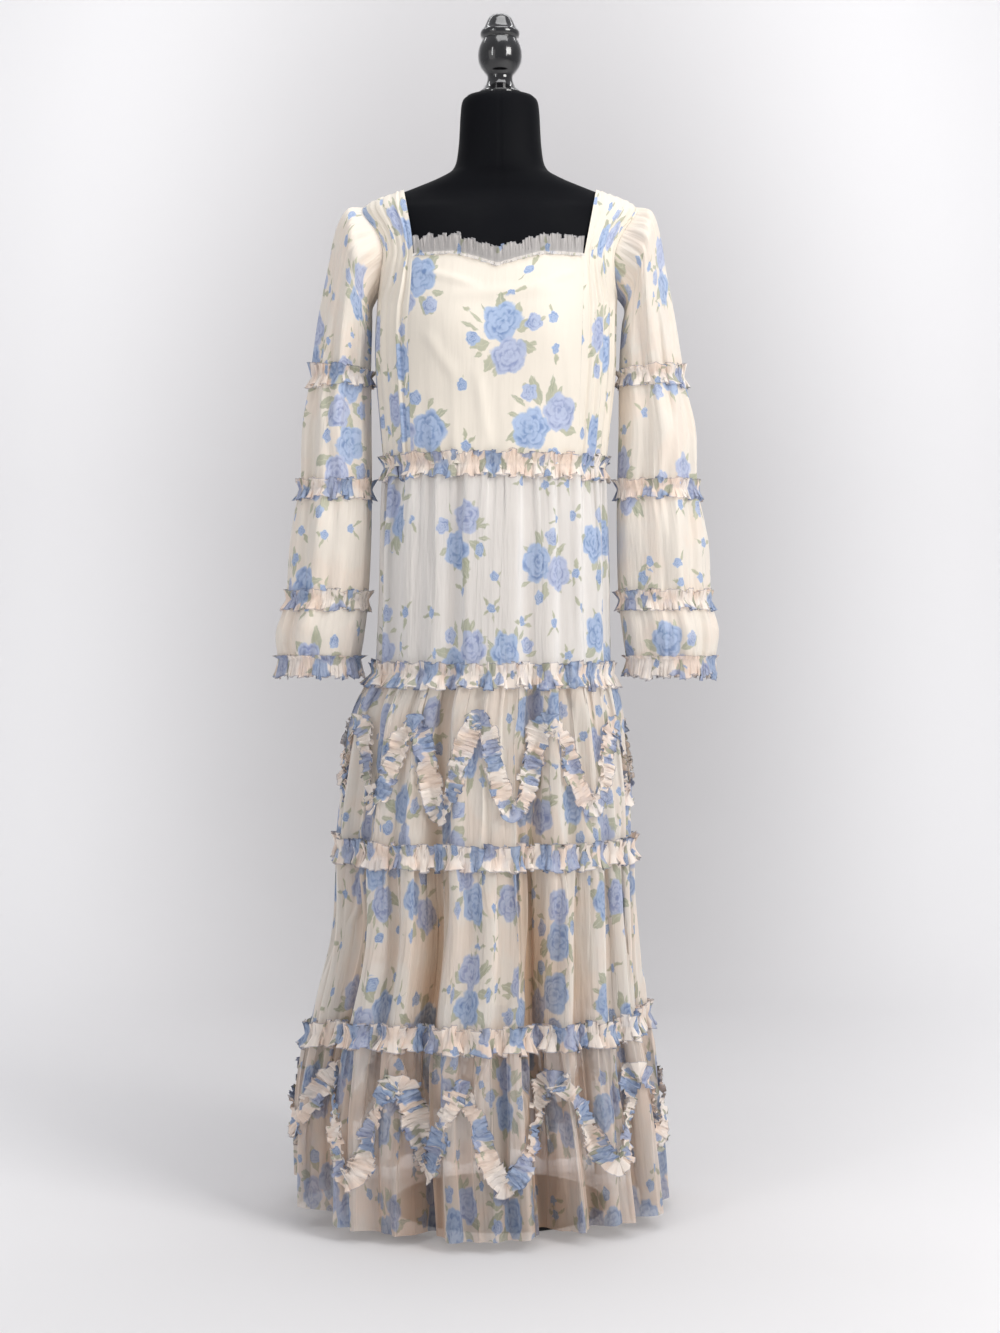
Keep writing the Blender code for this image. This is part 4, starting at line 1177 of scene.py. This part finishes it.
def bodice_point(angle, height):
    """The bodice's inner face."""
    angle, height = np.broadcast_arrays(np.asarray(angle, float), np.asarray(height, float))
    loose = with_bust(oval(BODICE, angle, np.minimum(height, BODICE[-1].height)), BODICE_BUST)
    loose[..., 2] = height
    across = form_point(angle + 2, height) - form_point(angle - 2, height)
    up = form_point(angle, height + 0.002) - form_point(angle, height - 0.002)
    resting = form_point(angle, height) + unit(np.cross(across, up)) * SHOULDER_EASE
    share = eased(height, ON_FORM_FROM, ON_FORM_AT)[..., None]
    return loose + (resting - loose) * share


def bodice_normal(angle, height):
    across = bodice_point(angle + 2, height) - bodice_point(angle - 2, height)
    up = bodice_point(angle, height + 0.002) - bodice_point(angle, height - 0.002)
    return unit(np.cross(across, up))


def angle_of_x(left, right, x):
    """The angle from the front at which an outline that reaches left and right has this x."""
    share = np.clip((x - (right - left) / 2) / ((left + right) / 2), -1, 1)
    return np.degrees(np.arcsin(signed_power(share, POWER / 2)))


def princess_angle(height):
    """How far the princess seam lies from the front; above the neck edge it is the strap's inner edge."""
    below = np.minimum(height, NECK_EDGE)
    x = PRINCESS_WAIST + (PRINCESS_TOP - PRINCESS_WAIST) * (below - WAIST) / (NECK_EDGE - WAIST)
    rise = np.clip((height - NECK_EDGE) / (SHOULDER_INNER - NECK_EDGE), 0, 1)
    strap_x = PRINCESS_TOP + (STRAP_TOP - PRINCESS_TOP) * rise
    low, high = np.zeros(np.shape(height)), np.full(np.shape(height), 90.0)
    for _ in range(BISECTIONS):
        middle = (low + high) / 2
        inside = bodice_point(middle, height)[..., 0] < strap_x
        low = np.where(inside, middle, low)
        high = np.where(inside, high, middle)
    left, right, _, _ = outline_at(BODICE, below)
    return np.where(height > NECK_EDGE, low, angle_of_x(left, right, x))


def neck_edge(x):
    """The height of the front neck edge, with its shallow point in the middle."""
    return NECK_EDGE - NECK_DIP * np.maximum(0, 1 - np.abs(x) / NECK_DIP_HALF_WIDTH) ** 1.2


def side_places(rows):
    """The side seam and armhole: how far round from the side and how high each of the rows ends."""
    edge = np.array([(WAIST, 0), (1.1, 0), (1.18, 0), (1.24, 0), *ARMHOLE])
    steps = np.hypot(np.diff(edge[:, 0]), METRES_PER_DEGREE * np.diff(edge[:, 1]))
    along = np.concatenate([[0], np.cumsum(steps)])
    at = np.linspace(0, along[-1], rows)
    return np.interp(at, along, edge[:, 1]), np.interp(at, along, edge[:, 0]), at / along[-1]


def panel_share(columns):
    """How far across a side panel each column lies; they are closer together near its edges."""
    return 0.5 - 0.5 * np.cos(np.pi * np.linspace(0, 1, columns))


def side_panel(rows, columns, back):
    """Angles and heights of a side panel's points, from the strap's inner edge out to the side."""
    away, height, along = side_places(rows)
    inner_height = WAIST + (SHOULDER_INNER - WAIST) * along
    inner = np.minimum(princess_angle(inner_height), 90 - away)
    t = panel_share(columns)[None, :]
    angles = inner[:, None] + (90 - away - inner)[:, None] * t
    heights = inner_height[:, None] + (height - inner_height)[:, None] * t
    return (180 - angles if back else angles), heights


print("the neck opening is", 2 * PRINCESS_TOP, "m wide")

# %% [markdown]
# ## Sewing the bodice
#
# The bodice has four cut pieces: the middle front, two side fronts that run on over the shoulders as
# its straps, and the back. The middle front is nearly smooth. The side fronts are cut wider and
# gathered, so their print looks squeezed and small upright folds run up them. At a seam both pieces
# dip together, and near the waist the stitches pucker the cloth. Soft pulls run across the middle front
# where it is strained.

# %% Bodice pieces
SEAM_DIP = 0.0004
SEAM_DIP_WIDTH = 0.0030
WAIST_PUCKERS = rows_of(Gather, [(0.011, 0.0011, 0.022), (0.034, 0.0016, 0.070)])
SIDE_FRONT_FOLDS = 6
SIDE_FRONT_DEPTHS = (0.0030, 0.0012)  # of its folds and of finer ones between them
FOLD_SWAY = 0.02
FOLD_FADE = 0.12
STRAP_HEIGHTS = (1.25, 1.37)
SIDE_FRONT_FULLNESS = 1.5
SIDE_FRONT_AREA = 0.62  # of its box
BACK_AREA = 0.75
FRONT_ROWS = 120
FRONT_COLUMNS = 110
SIDE_ROWS = 150
SIDE_COLUMNS = 70

Pull = namedtuple("Pull", "x height to_x to_height depth half_width")
FRONT_PULLS = rows_of(Pull, [
    (-0.108, 1.292, -0.030, 1.266, 0.0026, 0.006),
    (-0.070, 1.254, 0.088, 1.264, 0.0028, 0.009),
    (0.102, 1.290, 0.038, 1.262, 0.0022, 0.006),
    (-0.102, 1.210, -0.056, 1.138, 0.0022, 0.008),
    (-0.032, 1.155, -0.014, 1.046, 0.0024, 0.007),
    (0.022, 1.125, 0.012, 1.044, 0.0018, 0.006),
    (0.088, 1.205, 0.098, 1.056, 0.0022, 0.006),
])


def pulled_lift(points):
    """How far the pulls lift each point of the middle front."""
    lift = 0.0
    for pull in FRONT_PULLS:
        start = np.array([pull.x, pull.height])
        run = np.array([pull.to_x, pull.to_height]) - start
        away = points[..., [0, 2]] - start
        along = away @ run / (run @ run)
        beside = (away[..., 0] * run[1] - away[..., 1] * run[0]) / np.linalg.norm(run)
        fade = eased(along, -0.1, 0.3) * eased(1 - along, -0.1, 0.3)
        lift = lift + pull.depth * fade * np.exp(-((beside / pull.half_width) ** 2))
    return lift


def gathered_lift(heights, seed):
    """How far the upright folds of a side front lift each of its points."""
    place = panel_share(heights.shape[1])[None, :]
    across = place + FOLD_SWAY * np.sin(14 * heights + seed)
    wave, _ = ripple(across, 1.0, SIDE_FRONT_FOLDS, seed + 3, 0.7)
    fine, _ = ripple(across, 1.0, 2 * SIDE_FRONT_FOLDS + 1, seed + 4, 0.7)
    fade = eased(place, 0, FOLD_FADE) * eased(1 - place, 0, FOLD_FADE)
    fade = fade * (1 - 0.75 * eased(heights, *STRAP_HEIGHTS))
    return fade * (SIDE_FRONT_DEPTHS[0] * wave + SIDE_FRONT_DEPTHS[1] * fine)


def sewn_lift(grid, sewn, seed):
    """How far a panel's points lie off its plain surface: sunken seams, and puckers over the waist."""
    steps = np.linalg.norm(np.diff(grid, axis=1), axis=2)
    across = np.concatenate([np.zeros((len(grid), 1)), np.cumsum(steps, axis=1)], axis=1)
    total = across[0, -1]
    lift = 0.0
    for number, pucker in enumerate(WAIST_PUCKERS):
        wave, _ = ripple(across, total, max(round(total / pucker.wave_length), 2), seed + number)
        lift = lift + pucker.depth * wave * np.exp((WAIST - grid[..., 2]) / pucker.reach)
    for side, distance in (("start", across), ("end", across[:, -1:] - across)):
        if side in sewn:
            lift -= SEAM_DIP * np.exp(-((distance / SEAM_DIP_WIDTH) ** 2))
    return lift


def add_bodice(name, angles, heights, sewn, seed, more_lift=None, kept=None, area=1.0, fullness=1.0):
    """A bodice panel from its angles and heights, with its sewn sides."""
    plain = bodice_point(angles, heights)
    lift = CLOTH + sewn_lift(plain, sewn, seed)
    if more_lift is not None:
        lift = lift + more_lift
    grid = plain + bodice_normal(angles, heights) * lift[..., None]
    made = add_cloth(
        f"{name}_panel", grid, BODICE_CLOTH, False, fullness,
        kept=kept, area=area,
    )
    stand_for(name)


def add_front():
    share = np.linspace(0, 1, FRONT_ROWS)[:, None]
    across = -np.cos(np.pi * np.linspace(0, 1, FRONT_COLUMNS))[None, :]
    heights = WAIST + (neck_edge(across * PRINCESS_TOP) - WAIST) * share
    angles = princess_angle(heights) * across
    pulls = pulled_lift(bodice_point(angles, heights))
    add_bodice("bodice_front", angles, heights, ("start", "end"), 3, pulls)


def add_side_fronts():
    angles, heights = side_panel(SIDE_ROWS, SIDE_COLUMNS, False)
    mirrored = -angles[:, ::-1], heights[:, ::-1]
    for word, places, sewn, seed in (("left", (angles, heights), "start", 7), ("right", mirrored, "end", 9)):
        add_bodice(
            f"bodice_side_front_{word}", *places, (sewn,), seed, gathered_lift(places[1], seed),
            area=SIDE_FRONT_AREA, fullness=SIDE_FRONT_FULLNESS,
        )


def add_back():
    """The back in one piece, with a plain square neck between its straps."""
    side_columns, middle_columns = 56, 60
    angles, heights = side_panel(SIDE_ROWS, side_columns, True)
    level = heights[:, :1]
    left_x = bodice_point(angles[:, :1], level)[..., 0]
    right_x = bodice_point(360 - angles[:, :1], level)[..., 0]
    x = left_x + (right_x - left_x) * np.linspace(0, 1, middle_columns + 2)[None, 1:-1]
    reach_left = -bodice_point(-90 + 0 * level, level)[..., 0]
    reach_right = bodice_point(90 + 0 * level, level)[..., 0]
    middle = 180 - angle_of_x(reach_left, reach_right, x)
    all_angles = np.concatenate([angles[:, ::-1], middle, 360 - angles], axis=1)
    levels = np.repeat(level, middle_columns, axis=1)
    all_heights = np.concatenate([heights[:, ::-1], levels, heights], axis=1)
    kept = np.ones((SIDE_ROWS - 1, all_angles.shape[1] - 1), bool)
    above = level[1:, 0] > BACK_NECK
    kept[above, side_columns - 1 : side_columns + middle_columns] = False
    add_bodice("bodice_back", all_angles, all_heights, (), 13, kept=kept, area=BACK_AREA)


add_front()
add_side_fronts()
add_back()
print("bodice cuts are", {name: [round(size, 3) for size in cut] for name, cut in CUTS.items()})

# %% [markdown]
# ## The lining and the four tiers
#
# The lining is a plain tube that hangs from the waist seam to just above the lowest tier, so that the
# lowest tier alone is sheer. Each tier is cut straight, a third to a half wider than the one above.

# %% Lining and tiers
TIER_FINISHES = (SKIRT_CLOTH, LOWER_CLOTH, LOWER_CLOTH, SHEER_CLOTH)
TIER_SPACING = 0.0024
LINING_HEM = 0.300
LINING_ROWS = 70
LINING_COLUMNS = 420
LINING_CLEARANCE = 0.004  # under the waist seam
LINING_FOLD = 0.0050
LINING_GATHER = 0.0010


def add_lining():
    angle = np.tile(360 * np.arange(LINING_COLUMNS) / LINING_COLUMNS, (LINING_ROWS, 1))
    rise = (WAIST - LINING_CLEARANCE - LINING_HEM) * np.linspace(0, 1, LINING_ROWS)[:, None]
    height = LINING_HEM + rise + 0 * angle
    down = (WAIST - height) / (WAIST - LINING_HEM)
    broad, _ = ripple(angle, 360, 13, 71)
    narrow, _ = ripple(angle, 360, 44, 73)
    lift = LINING_FOLD * broad * down + LINING_GATHER * narrow * np.exp(-down / 0.08)
    grid = oval(LINING, angle, height, -lift)
    # The inset sets the lining's painted shade, deeper where its cloth lies further in.
    inset = 0.020 - 2 * lift
    made = add_cloth("skirt_lining_shell", grid, LINING_CLOTH, True, inset=inset)
    stand_for("skirt_lining")


def add_tier(tier, finish):
    grid, inset = tier_grid(tier, TIER_SPACING)
    name = f"skirt_tier_{tier.number + 1}"
    made = add_cloth(f"{name}_cloth", grid, finish, True, tier.fullness, inset)
    stand_for(name)


add_lining()
for tier, finish in zip(TIERS, TIER_FINISHES):
    add_tier(tier, finish)
print("tier cuts are", [[round(size, 2) for size in CUTS[f"skirt_tier_{k}_cloth"]] for k in (1, 2, 3, 4)])

# %% [markdown]
# ## Frills round the skirt
#
# A frill covers each seam. Two more are laid on in scallops, one on the second tier and one on the
# lowest. Where a scallop is steep the strip still keeps its width, measured on the cloth.

# %% Skirt frills
FRILL_UP = 0.017
FRILL_DOWN = 0.020
FRILL_SPACING = 0.0014
WAIST_FRILL_SPACING = 0.0013
SCALLOP_HALF_WIDTH = 0.015
SHALLOW = 0.25

Turn = namedtuple("Turn", "angle height")
UPPER_TURNS = rows_of(Turn, [
    (-46, 0.572), (-30, 0.680), (-16, 0.560), (-3, 0.686), (9, 0.562), (25, 0.682), (44, 0.568),
    (63, 0.676), (82, 0.572), (102, 0.680), (121, 0.566), (140, 0.684), (160, 0.570), (179, 0.678),
    (198, 0.564), (217, 0.682), (237, 0.572), (256, 0.676), (275, 0.578), (295, 0.680),
])
LOWER_TURNS = rows_of(Turn, [
    (-72, 0.118), (-54, 0.216), (-40, 0.084), (-26, 0.210), (-15, 0.098), (-4, 0.208), (6, 0.084),
    (25, 0.212), (44, 0.100), (60, 0.212), (79, 0.092), (98, 0.204), (117, 0.088), (136, 0.208),
    (154, 0.084), (172, 0.210), (191, 0.090), (211, 0.204), (231, 0.086), (251, 0.206), (270, 0.100),
    (280, 0.170),
])


def add_waist_frill():
    angle = angles_round(0, WAIST_FRILL_SPACING)
    low = tier_point(TIERS[0], angle, WAIST - FRILL_DOWN + 0 * angle, SHALLOW)
    middle = tier_point(TIERS[0], angle, WAIST + 0 * angle, SHALLOW)
    top = WAIST + FRILL_UP + 0 * angle
    high = bodice_point(angle, top) + bodice_normal(angle, top) * CLOTH
    gathered = Gathered(0.0135, 0.0090, 101, 0.0015)
    add_frill("waist_ruffle", (low, middle, high), gathered, FRILL_CLOTH)


def add_seam_frill(index):
    upper, lower = TIERS[index - 1], TIERS[index]
    angle = angles_round(index, FRILL_SPACING)
    seam = seam_height(index, angle)
    low = tier_point(lower, angle, seam - FRILL_DOWN, SHALLOW)
    middle = tier_point(lower, angle, seam, SHALLOW)
    high = tier_point(upper, angle, seam + FRILL_UP, SHALLOW)
    gathered = Gathered(0.0140, 0.0095, 110 + 10 * index, 0.0015)
    add_frill(f"skirt_ruffle_{index}", (low, middle, high), gathered, FRILL_CLOTH)


def scallop_lines(tier, turns):
    """The middle and edge lines of a strip that follows the turns, all on a tier's surface."""
    knots = np.array([(turn.angle + lap, turn.height) for lap in (-360, 0, 360) for turn in turns])
    fine = np.linspace(turns[0].angle, turns[0].angle + 360, 6001)[:-1]
    level = smooth(knots[:, 0], knots[:, 1], fine)
    along = lengths(tier_point(tier, fine, level, SHALLOW), True)
    count = round(along[-1] / FRILL_SPACING)
    angle = np.interp(np.arange(count) * along[-1] / count, along, np.append(fine, fine[0] + 360))
    height = smooth(knots[:, 0], knots[:, 1], angle)
    beside = oval(SKIRT, angle + 0.5, height, 0) - oval(SKIRT, angle - 0.5, height, 0)
    per_degree = np.linalg.norm(beside, axis=1)
    run = per_degree * away_from(np.roll(angle, -1), np.roll(angle, 1))
    rise = np.roll(height, -1) - np.roll(height, 1)
    size = np.hypot(run, rise)
    step_angle = -rise / size / per_degree * SCALLOP_HALF_WIDTH
    step_height = run / size * SCALLOP_HALF_WIDTH
    return [tier_point(tier, angle + k * step_angle, height + k * step_height, SHALLOW) for k in (-1, 0, 1)]


def add_scallop_frill(name, tier, turns, seed):
    gathered = Gathered(0.0125, 0.0095, seed, 0.0022)
    add_frill(name, scallop_lines(tier, turns), gathered, FRILL_CLOTH)


add_waist_frill()
for number in (1, 2, 3):
    add_seam_frill(number)
add_scallop_frill("scalloped_ruffle_upper", TIERS[1], UPPER_TURNS, 151)
add_scallop_frill("scalloped_ruffle_lower", TIERS[3], LOWER_TURNS, 161)
print("frill lengths are", {name: round(cut[0], 2) for name, cut in CUTS.items() if "ruffle" in name})

# %% [markdown]
# ## The sleeves
#
# Each sleeve is four tubes, one under the other, wider than the arm and gathered at both ends. A ring
# of the tube has an outer point and an inner point in the plane of the arm, and half a depth from front
# to back. Rings in between follow a smooth curve through these.

# %% Sleeve rings
SleeveRing = namedtuple("SleeveRing", "outer_x outer_z inner_x inner_z half_depth gather")
RIGHT_SLEEVE = rows_of(SleeveRing, [
    (0.2120, 1.3890, 0.1780, 1.2560, 0.066, 0.0020),
    (0.2270, 1.3600, 0.1785, 1.2340, 0.063, 0.0035),
    (0.2370, 1.3100, 0.1790, 1.2100, 0.058, 0.0035),
    (0.2480, 1.2450, 0.1795, 1.1860, 0.053, 0.0030),
    (0.2600, 1.1580, 0.1800, 1.1580, 0.047, 0.0018),
    (0.2710, 1.0850, 0.1800, 1.0850, 0.052, 0.0050),
    (0.2780, 1.0020, 0.1800, 1.0020, 0.048, 0.0020),
    (0.2890, 0.9300, 0.1805, 0.9300, 0.057, 0.0055),
    (0.2965, 0.8480, 0.1850, 0.8480, 0.053, 0.0022),
    (0.3090, 0.8050, 0.1900, 0.8050, 0.060, 0.0050),
    (0.3070, 0.7650, 0.1960, 0.7650, 0.052, 0.0020),
])
LEFT_SLEEVE = rows_of(SleeveRing, [
    (0.2110, 1.3880, 0.1740, 1.2560, 0.066, 0.0020),
    (0.2220, 1.3560, 0.1710, 1.2340, 0.063, 0.0035),
    (0.2310, 1.3000, 0.1690, 1.2100, 0.059, 0.0035),
    (0.2420, 1.2350, 0.1675, 1.1860, 0.055, 0.0030),
    (0.2540, 1.1580, 0.1665, 1.1580, 0.049, 0.0018),
    (0.2690, 1.0850, 0.1660, 1.0850, 0.055, 0.0050),
    (0.2760, 1.0020, 0.1650, 1.0020, 0.051, 0.0020),
    (0.2870, 0.9300, 0.1640, 0.9300, 0.060, 0.0055),
    (0.2920, 0.8480, 0.1670, 0.8480, 0.056, 0.0022),
    (0.3020, 0.8050, 0.1720, 0.8050, 0.063, 0.0050),
    (0.2990, 0.7650, 0.1780, 0.7650, 0.054, 0.0020),
])
TIER_ENDS = (0, 5, 7, 9, 11)
FOLDS_ROUND = 5
SLEEVE_COLUMNS = 224
HEAD_EASE = 0.0012
HEAD_CLEARANCE = 0.0006
SLEEVE_GATHERS = 27
SLEEVE_FOLDS = 9
SEAM_GATHER = (0.0027, 0.030)  # its depth, and how far it reaches from a seam
HEAD_GATHER = (0.0026, 0.045)
SLEEVE_FOLD = 0.0052


def armhole_ring(side):
    """The sleeve's first ring: up the back panel's armhole edge and down the front's."""
    rows = ARMHOLE[1:-1]
    path = [(ARMHOLE[0][0], 90.0)] + [(height, 90 + away) for height, away in rows]
    path += [(ARMHOLE[-1][0], 90.0)] + [(height, 90 - away) for height, away in reversed(rows)]
    height, angle = np.array(path).T
    points = bodice_point(side * angle, height) + HEAD_EASE * bodice_normal(side * angle, height)
    points[:, 0] += side * HEAD_CLEARANCE
    return dense(points, SLEEVE_COLUMNS)


def dense(line, count):
    """A closed line of points read at another number of places."""
    wrapped = np.concatenate([line[-3:], line, line[:3]])
    return smooth(np.arange(len(wrapped)) - 3.0, wrapped, np.arange(count) * len(line) / count)


def sleeve_rings(side, table):
    """All rings from the armhole down, each from its inner point round by the back."""
    turn = math.tau * np.arange(SLEEVE_COLUMNS)[:, None] / SLEEVE_COLUMNS
    rings = [armhole_ring(side)]
    for row in table:
        outer = np.array([side * row.outer_x, 0, row.outer_z])
        inner = np.array([side * row.inner_x, 0, row.inner_z])
        middle, reach = (outer + inner) / 2, (inner - outer) / 2
        near_body = np.maximum(0, np.cos(turn))
        fold = row.gather * np.cos(FOLDS_ROUND * turn + 2.4) * (1 - near_body)
        scale = 1 + fold / np.linalg.norm(reach)
        depth = np.array([0, row.half_depth, 0])
        rings.append(middle + (reach * np.cos(turn) + depth * np.sin(turn)) * scale)
    return np.array(rings)


def sleeve_surface(rings, seed):
    """A function from places along the sleeve, in rings from the armhole, to gathered points."""
    drop = lengths(rings.mean(axis=1), False)
    ends = np.array([drop[k] for k in TIER_ENDS])
    turn = np.arange(SLEEVE_COLUMNS)[None, :] / SLEEVE_COLUMNS

    def surface(at):
        down = np.interp(at, np.arange(len(drop)), drop)[:, None]
        plain = smooth(drop, rings, down[:, 0])
        normal = unit(plain - plain.mean(axis=1, keepdims=True))
        near = np.min(np.abs(down - ends[1:]), axis=1, keepdims=True)
        head = np.abs(down - ends[0])
        # The folds are weaker on the side towards the body.
        free = 1 - 0.75 * np.maximum(0, -normal[..., 0] * np.sign(plain[0, 0, 0]))
        fine, _ = ripple(turn + 0.006 * np.sin(30 * down), 1.0, SLEEVE_GATHERS, seed)
        broad, _ = ripple(turn + 0.03 * np.sin(11 * down + seed), 1.0, SLEEVE_FOLDS, seed + 1)
        at_seam = SEAM_GATHER[0] * np.exp(-near / SEAM_GATHER[1])
        at_head = HEAD_GATHER[0] * np.exp(-head / HEAD_GATHER[1])
        lift = fine * (at_seam + at_head)
        lift = lift + broad * SLEEVE_FOLD * (0.45 + 0.55 * np.exp(-((near - 0.03) / 0.04) ** 2))
        lift = lift * free * (0.25 + 0.75 * eased(near, 0, 0.006)) * eased(head, 0, 0.02)
        return plain + normal * lift[..., None]

    return surface


print("sleeve tiers end at", [RIGHT_SLEEVE[k - 1].outer_z for k in TIER_ENDS[1:]], "m")

# %% [markdown]
# ## Sewing the sleeves
#
# The tubes are cut from the same surface between their seams. A frill stands out over each seam, and
# the cuff ends in one more that falls freely.

# %% Sleeve pieces
SLEEVE_FRILL_UP = 0.014
SLEEVE_FRILL_DOWN = 0.016
CUFF_FRILL_UP = 0.006
CUFF_FRILL_DOWN = 0.026
SLEEVE_FULLNESS = 1.2
SLEEVE_HEAD_AREA = 0.62  # of its box
SLEEVE_HEAD_ROWS = 72
SLEEVE_ROWS = 46


def add_sleeve(word, side, table, seed):
    rings = sleeve_rings(side, table)
    surface = sleeve_surface(rings, seed)
    for number, (start, end) in enumerate(zip(TIER_ENDS, TIER_ENDS[1:]), 1):
        head = number == 1
        grid = surface(np.linspace(start, end, SLEEVE_HEAD_ROWS if head else SLEEVE_ROWS))[::-1]
        grid = grid[:, ::-1] if side > 0 else grid
        name = f"sleeve_{word}_{number}"
        made = add_cloth(
            f"{name}_cloth", grid, SLEEVE_CLOTH, True, SLEEVE_FULLNESS,
            area=SLEEVE_HEAD_AREA if head else 1.0,
        )
        stand_for(name)
    for number in range(1, len(TIER_ENDS)):
        add_sleeve_frill(word, side, surface, rings, number, seed + 20 + number)


def add_sleeve_frill(word, side, surface, rings, number, seed):
    """The frill over one of a sleeve's seams; the last one is the cuff's and falls freely."""
    end = TIER_ENDS[number]
    heights = rings.mean(axis=1)[:, 2]
    middle = surface(np.array([float(end)]))[0]
    if end == TIER_ENDS[-1]:
        name, up = f"cuff_{word}_ruffle", CUFF_FRILL_UP
        low = middle - np.array([0, 0, CUFF_FRILL_DOWN])
    else:
        name, up = f"sleeve_{word}_ruffle_{number}", SLEEVE_FRILL_UP
        low = surface(np.array([end + SLEEVE_FRILL_DOWN / (heights[end] - heights[end + 1])]))[0]
    high = surface(np.array([end - up / (heights[end - 1] - heights[end])]))[0]
    lines = [dense(line[::-1] if side > 0 else line, 3 * SLEEVE_COLUMNS // 2) for line in (low, middle, high)]
    add_frill(name, lines, Gathered(0.0125, 0.0080, seed, 0.0012), FRILL_CLOTH)


add_sleeve("right", -1, RIGHT_SLEEVE, 201)
add_sleeve("left", 1, LEFT_SLEEVE, 301)
print("sleeve cuts are", {name: [round(s, 2) for s in cut] for name, cut in CUTS.items() if "sleeve" in name})

# %% [markdown]
# ## The frill at the neck
#
# It is sewn to the front neck edge and stands up from it in small pleats. Only its upper edge is free.

# %% Neck frill
NECK_FRILL_RISE = 0.021
NECK_FRILL_POINTS = 260
NECK_FRILL_WIDTH = 0.985  # of the neck edge
NECK_FRILL_FOOT = 0.005  # below the neck edge


def add_neck_frill():
    across = np.linspace(-1, 1, NECK_FRILL_POINTS)
    edge = neck_edge(across * PRINCESS_TOP)
    angle = princess_angle(edge) * across * NECK_FRILL_WIDTH
    level = edge - NECK_FRILL_FOOT
    foot = bodice_point(angle, level) + bodice_normal(angle, level) * (CLOTH + 0.0010)
    lines = [foot + np.array([0, 0, rise]) for rise in (-0.001, 0.004, NECK_FRILL_RISE + 0.006)]
    gathered = Gathered(0.0100, 0.0044, 401, 0.0002)
    add_frill("neck_ruffle", lines, gathered, NECK_CLOTH, closed=False, rows=5)


add_neck_frill()
total = sum(len(piece.data.polygons) for piece in bpy.data.objects if piece.type == "MESH")
print("all meshes have", 2 * total, "triangles or fewer")

# %% [markdown]
# ## The studio
#
# A paper sweep curves up behind the dress, painted greyer in the middle. It is clear when seen from
# behind, so that the back of the dress can be looked at. A key light stands to the right and a weaker
# one to the left, so that folds have a dark side. One more hangs above and one washes the paper. Two
# narrow ones give the finial its streaks.

# %% Studio
HALO_MIDDLE = (0, 2.8, 0.9)
HALO_SHAPE = (1.0, 0.28, 0.42)
HALO_RADII = (0.35, 1.30)
WORLD_COLOUR = (0.95, 0.96, 1.0, 1)
WORLD_STRENGTH = 0.42

Light = namedtuple("Light", "name place aim size watts colour")
LIGHTS = rows_of(Light, [
    ("key", (2.0, -1.9, 2.2), (0, 0, 0.8), (1.1, 1.4), 48, (1.0, 0.985, 0.96)),
    ("fill", (-2.2, -2.4, 1.3), (0, 0, 0.7), (2.0, 2.4), 9, (1.0, 0.98, 0.96)),
    ("top", (0.2, -0.5, 3.2), (0, 0, 1.0), (1.4, 1.0), 16, (1, 1, 1)),
    ("backdrop wash", (0, 0.9, 3.0), HALO_MIDDLE, (3.0, 0.5), 30, (1, 1, 1)),
    ("left strip", (-1.0, -1.2, 1.9), (0, 0, 1.6), (0.12, 0.9), 3, (1, 1, 1)),
    ("right strip", (0.9, -1.3, 1.8), (0, 0, 1.6), (0.10, 0.8), 2, (1, 1, 1)),
])


def make_paper():
    made, tree, shader, output = new_material("sweep paper")
    place = add_node(tree, "ShaderNodeTexCoord", "Object")
    away = place.vector("SUBTRACT", HALO_MIDDLE).vector("MULTIPLY", HALO_SHAPE)
    middle = mixed(noise(place, 3.0, 2.0, "3D"), paint("bdbbbc"), paint("c1bfc0"))
    colour = mixed(ramped(away.length(), *HALO_RADII), middle, paint("f4f3f4"))
    set_inputs(shader, Base_Color=colour, Roughness=0.9)
    make_clear(tree, add_node(tree, "ShaderNodeNewGeometry", "Backfacing"), shader, output)
    return made


def add_sweep():
    """A floor that curves up into a wall."""
    half_width, front, corner, wall, radius = 6.0, -5.0, 1.6, 5.0, 1.2
    bend = [
        (corner + radius * math.sin(turn), radius - radius * math.cos(turn))
        for turn in np.linspace(0, math.pi / 2, 24)
    ]
    profile = [(front, 0.0), *bend, (corner + radius, wall)]
    points = np.array([(x, y, z) for y, z in profile for x in (-half_width, half_width)])
    faces = np.array([(2 * k, 2 * k + 1, 2 * k + 3, 2 * k + 2) for k in range(len(profile) - 1)])
    add_mesh("sweep", points, faces, make_paper())


def add_light(light):
    data = bpy.data.lights.new(light.name, "AREA")
    data.shape = "RECTANGLE"
    data.size, data.size_y = light.size
    data.energy = light.watts
    data.color = light.colour
    lamp = bpy.data.objects.new(light.name, data)
    lamp.location = light.place
    lamp.rotation_euler = (Vector(light.aim) - Vector(light.place)).to_track_quat("-Z", "Y").to_euler()
    bpy.context.scene.collection.objects.link(lamp)


def add_world():
    world = bpy.data.worlds.new("studio air")
    bpy.context.scene.world = world
    world.use_nodes = True
    background = world.node_tree.nodes["Background"]
    set_inputs(background, Color=WORLD_COLOUR, Strength=WORLD_STRENGTH)


add_sweep()
add_world()
for light in LIGHTS:
    add_light(light)
bpy.context.scene.view_settings.view_transform = "Standard"
print("the studio has", len(LIGHTS), "lights")
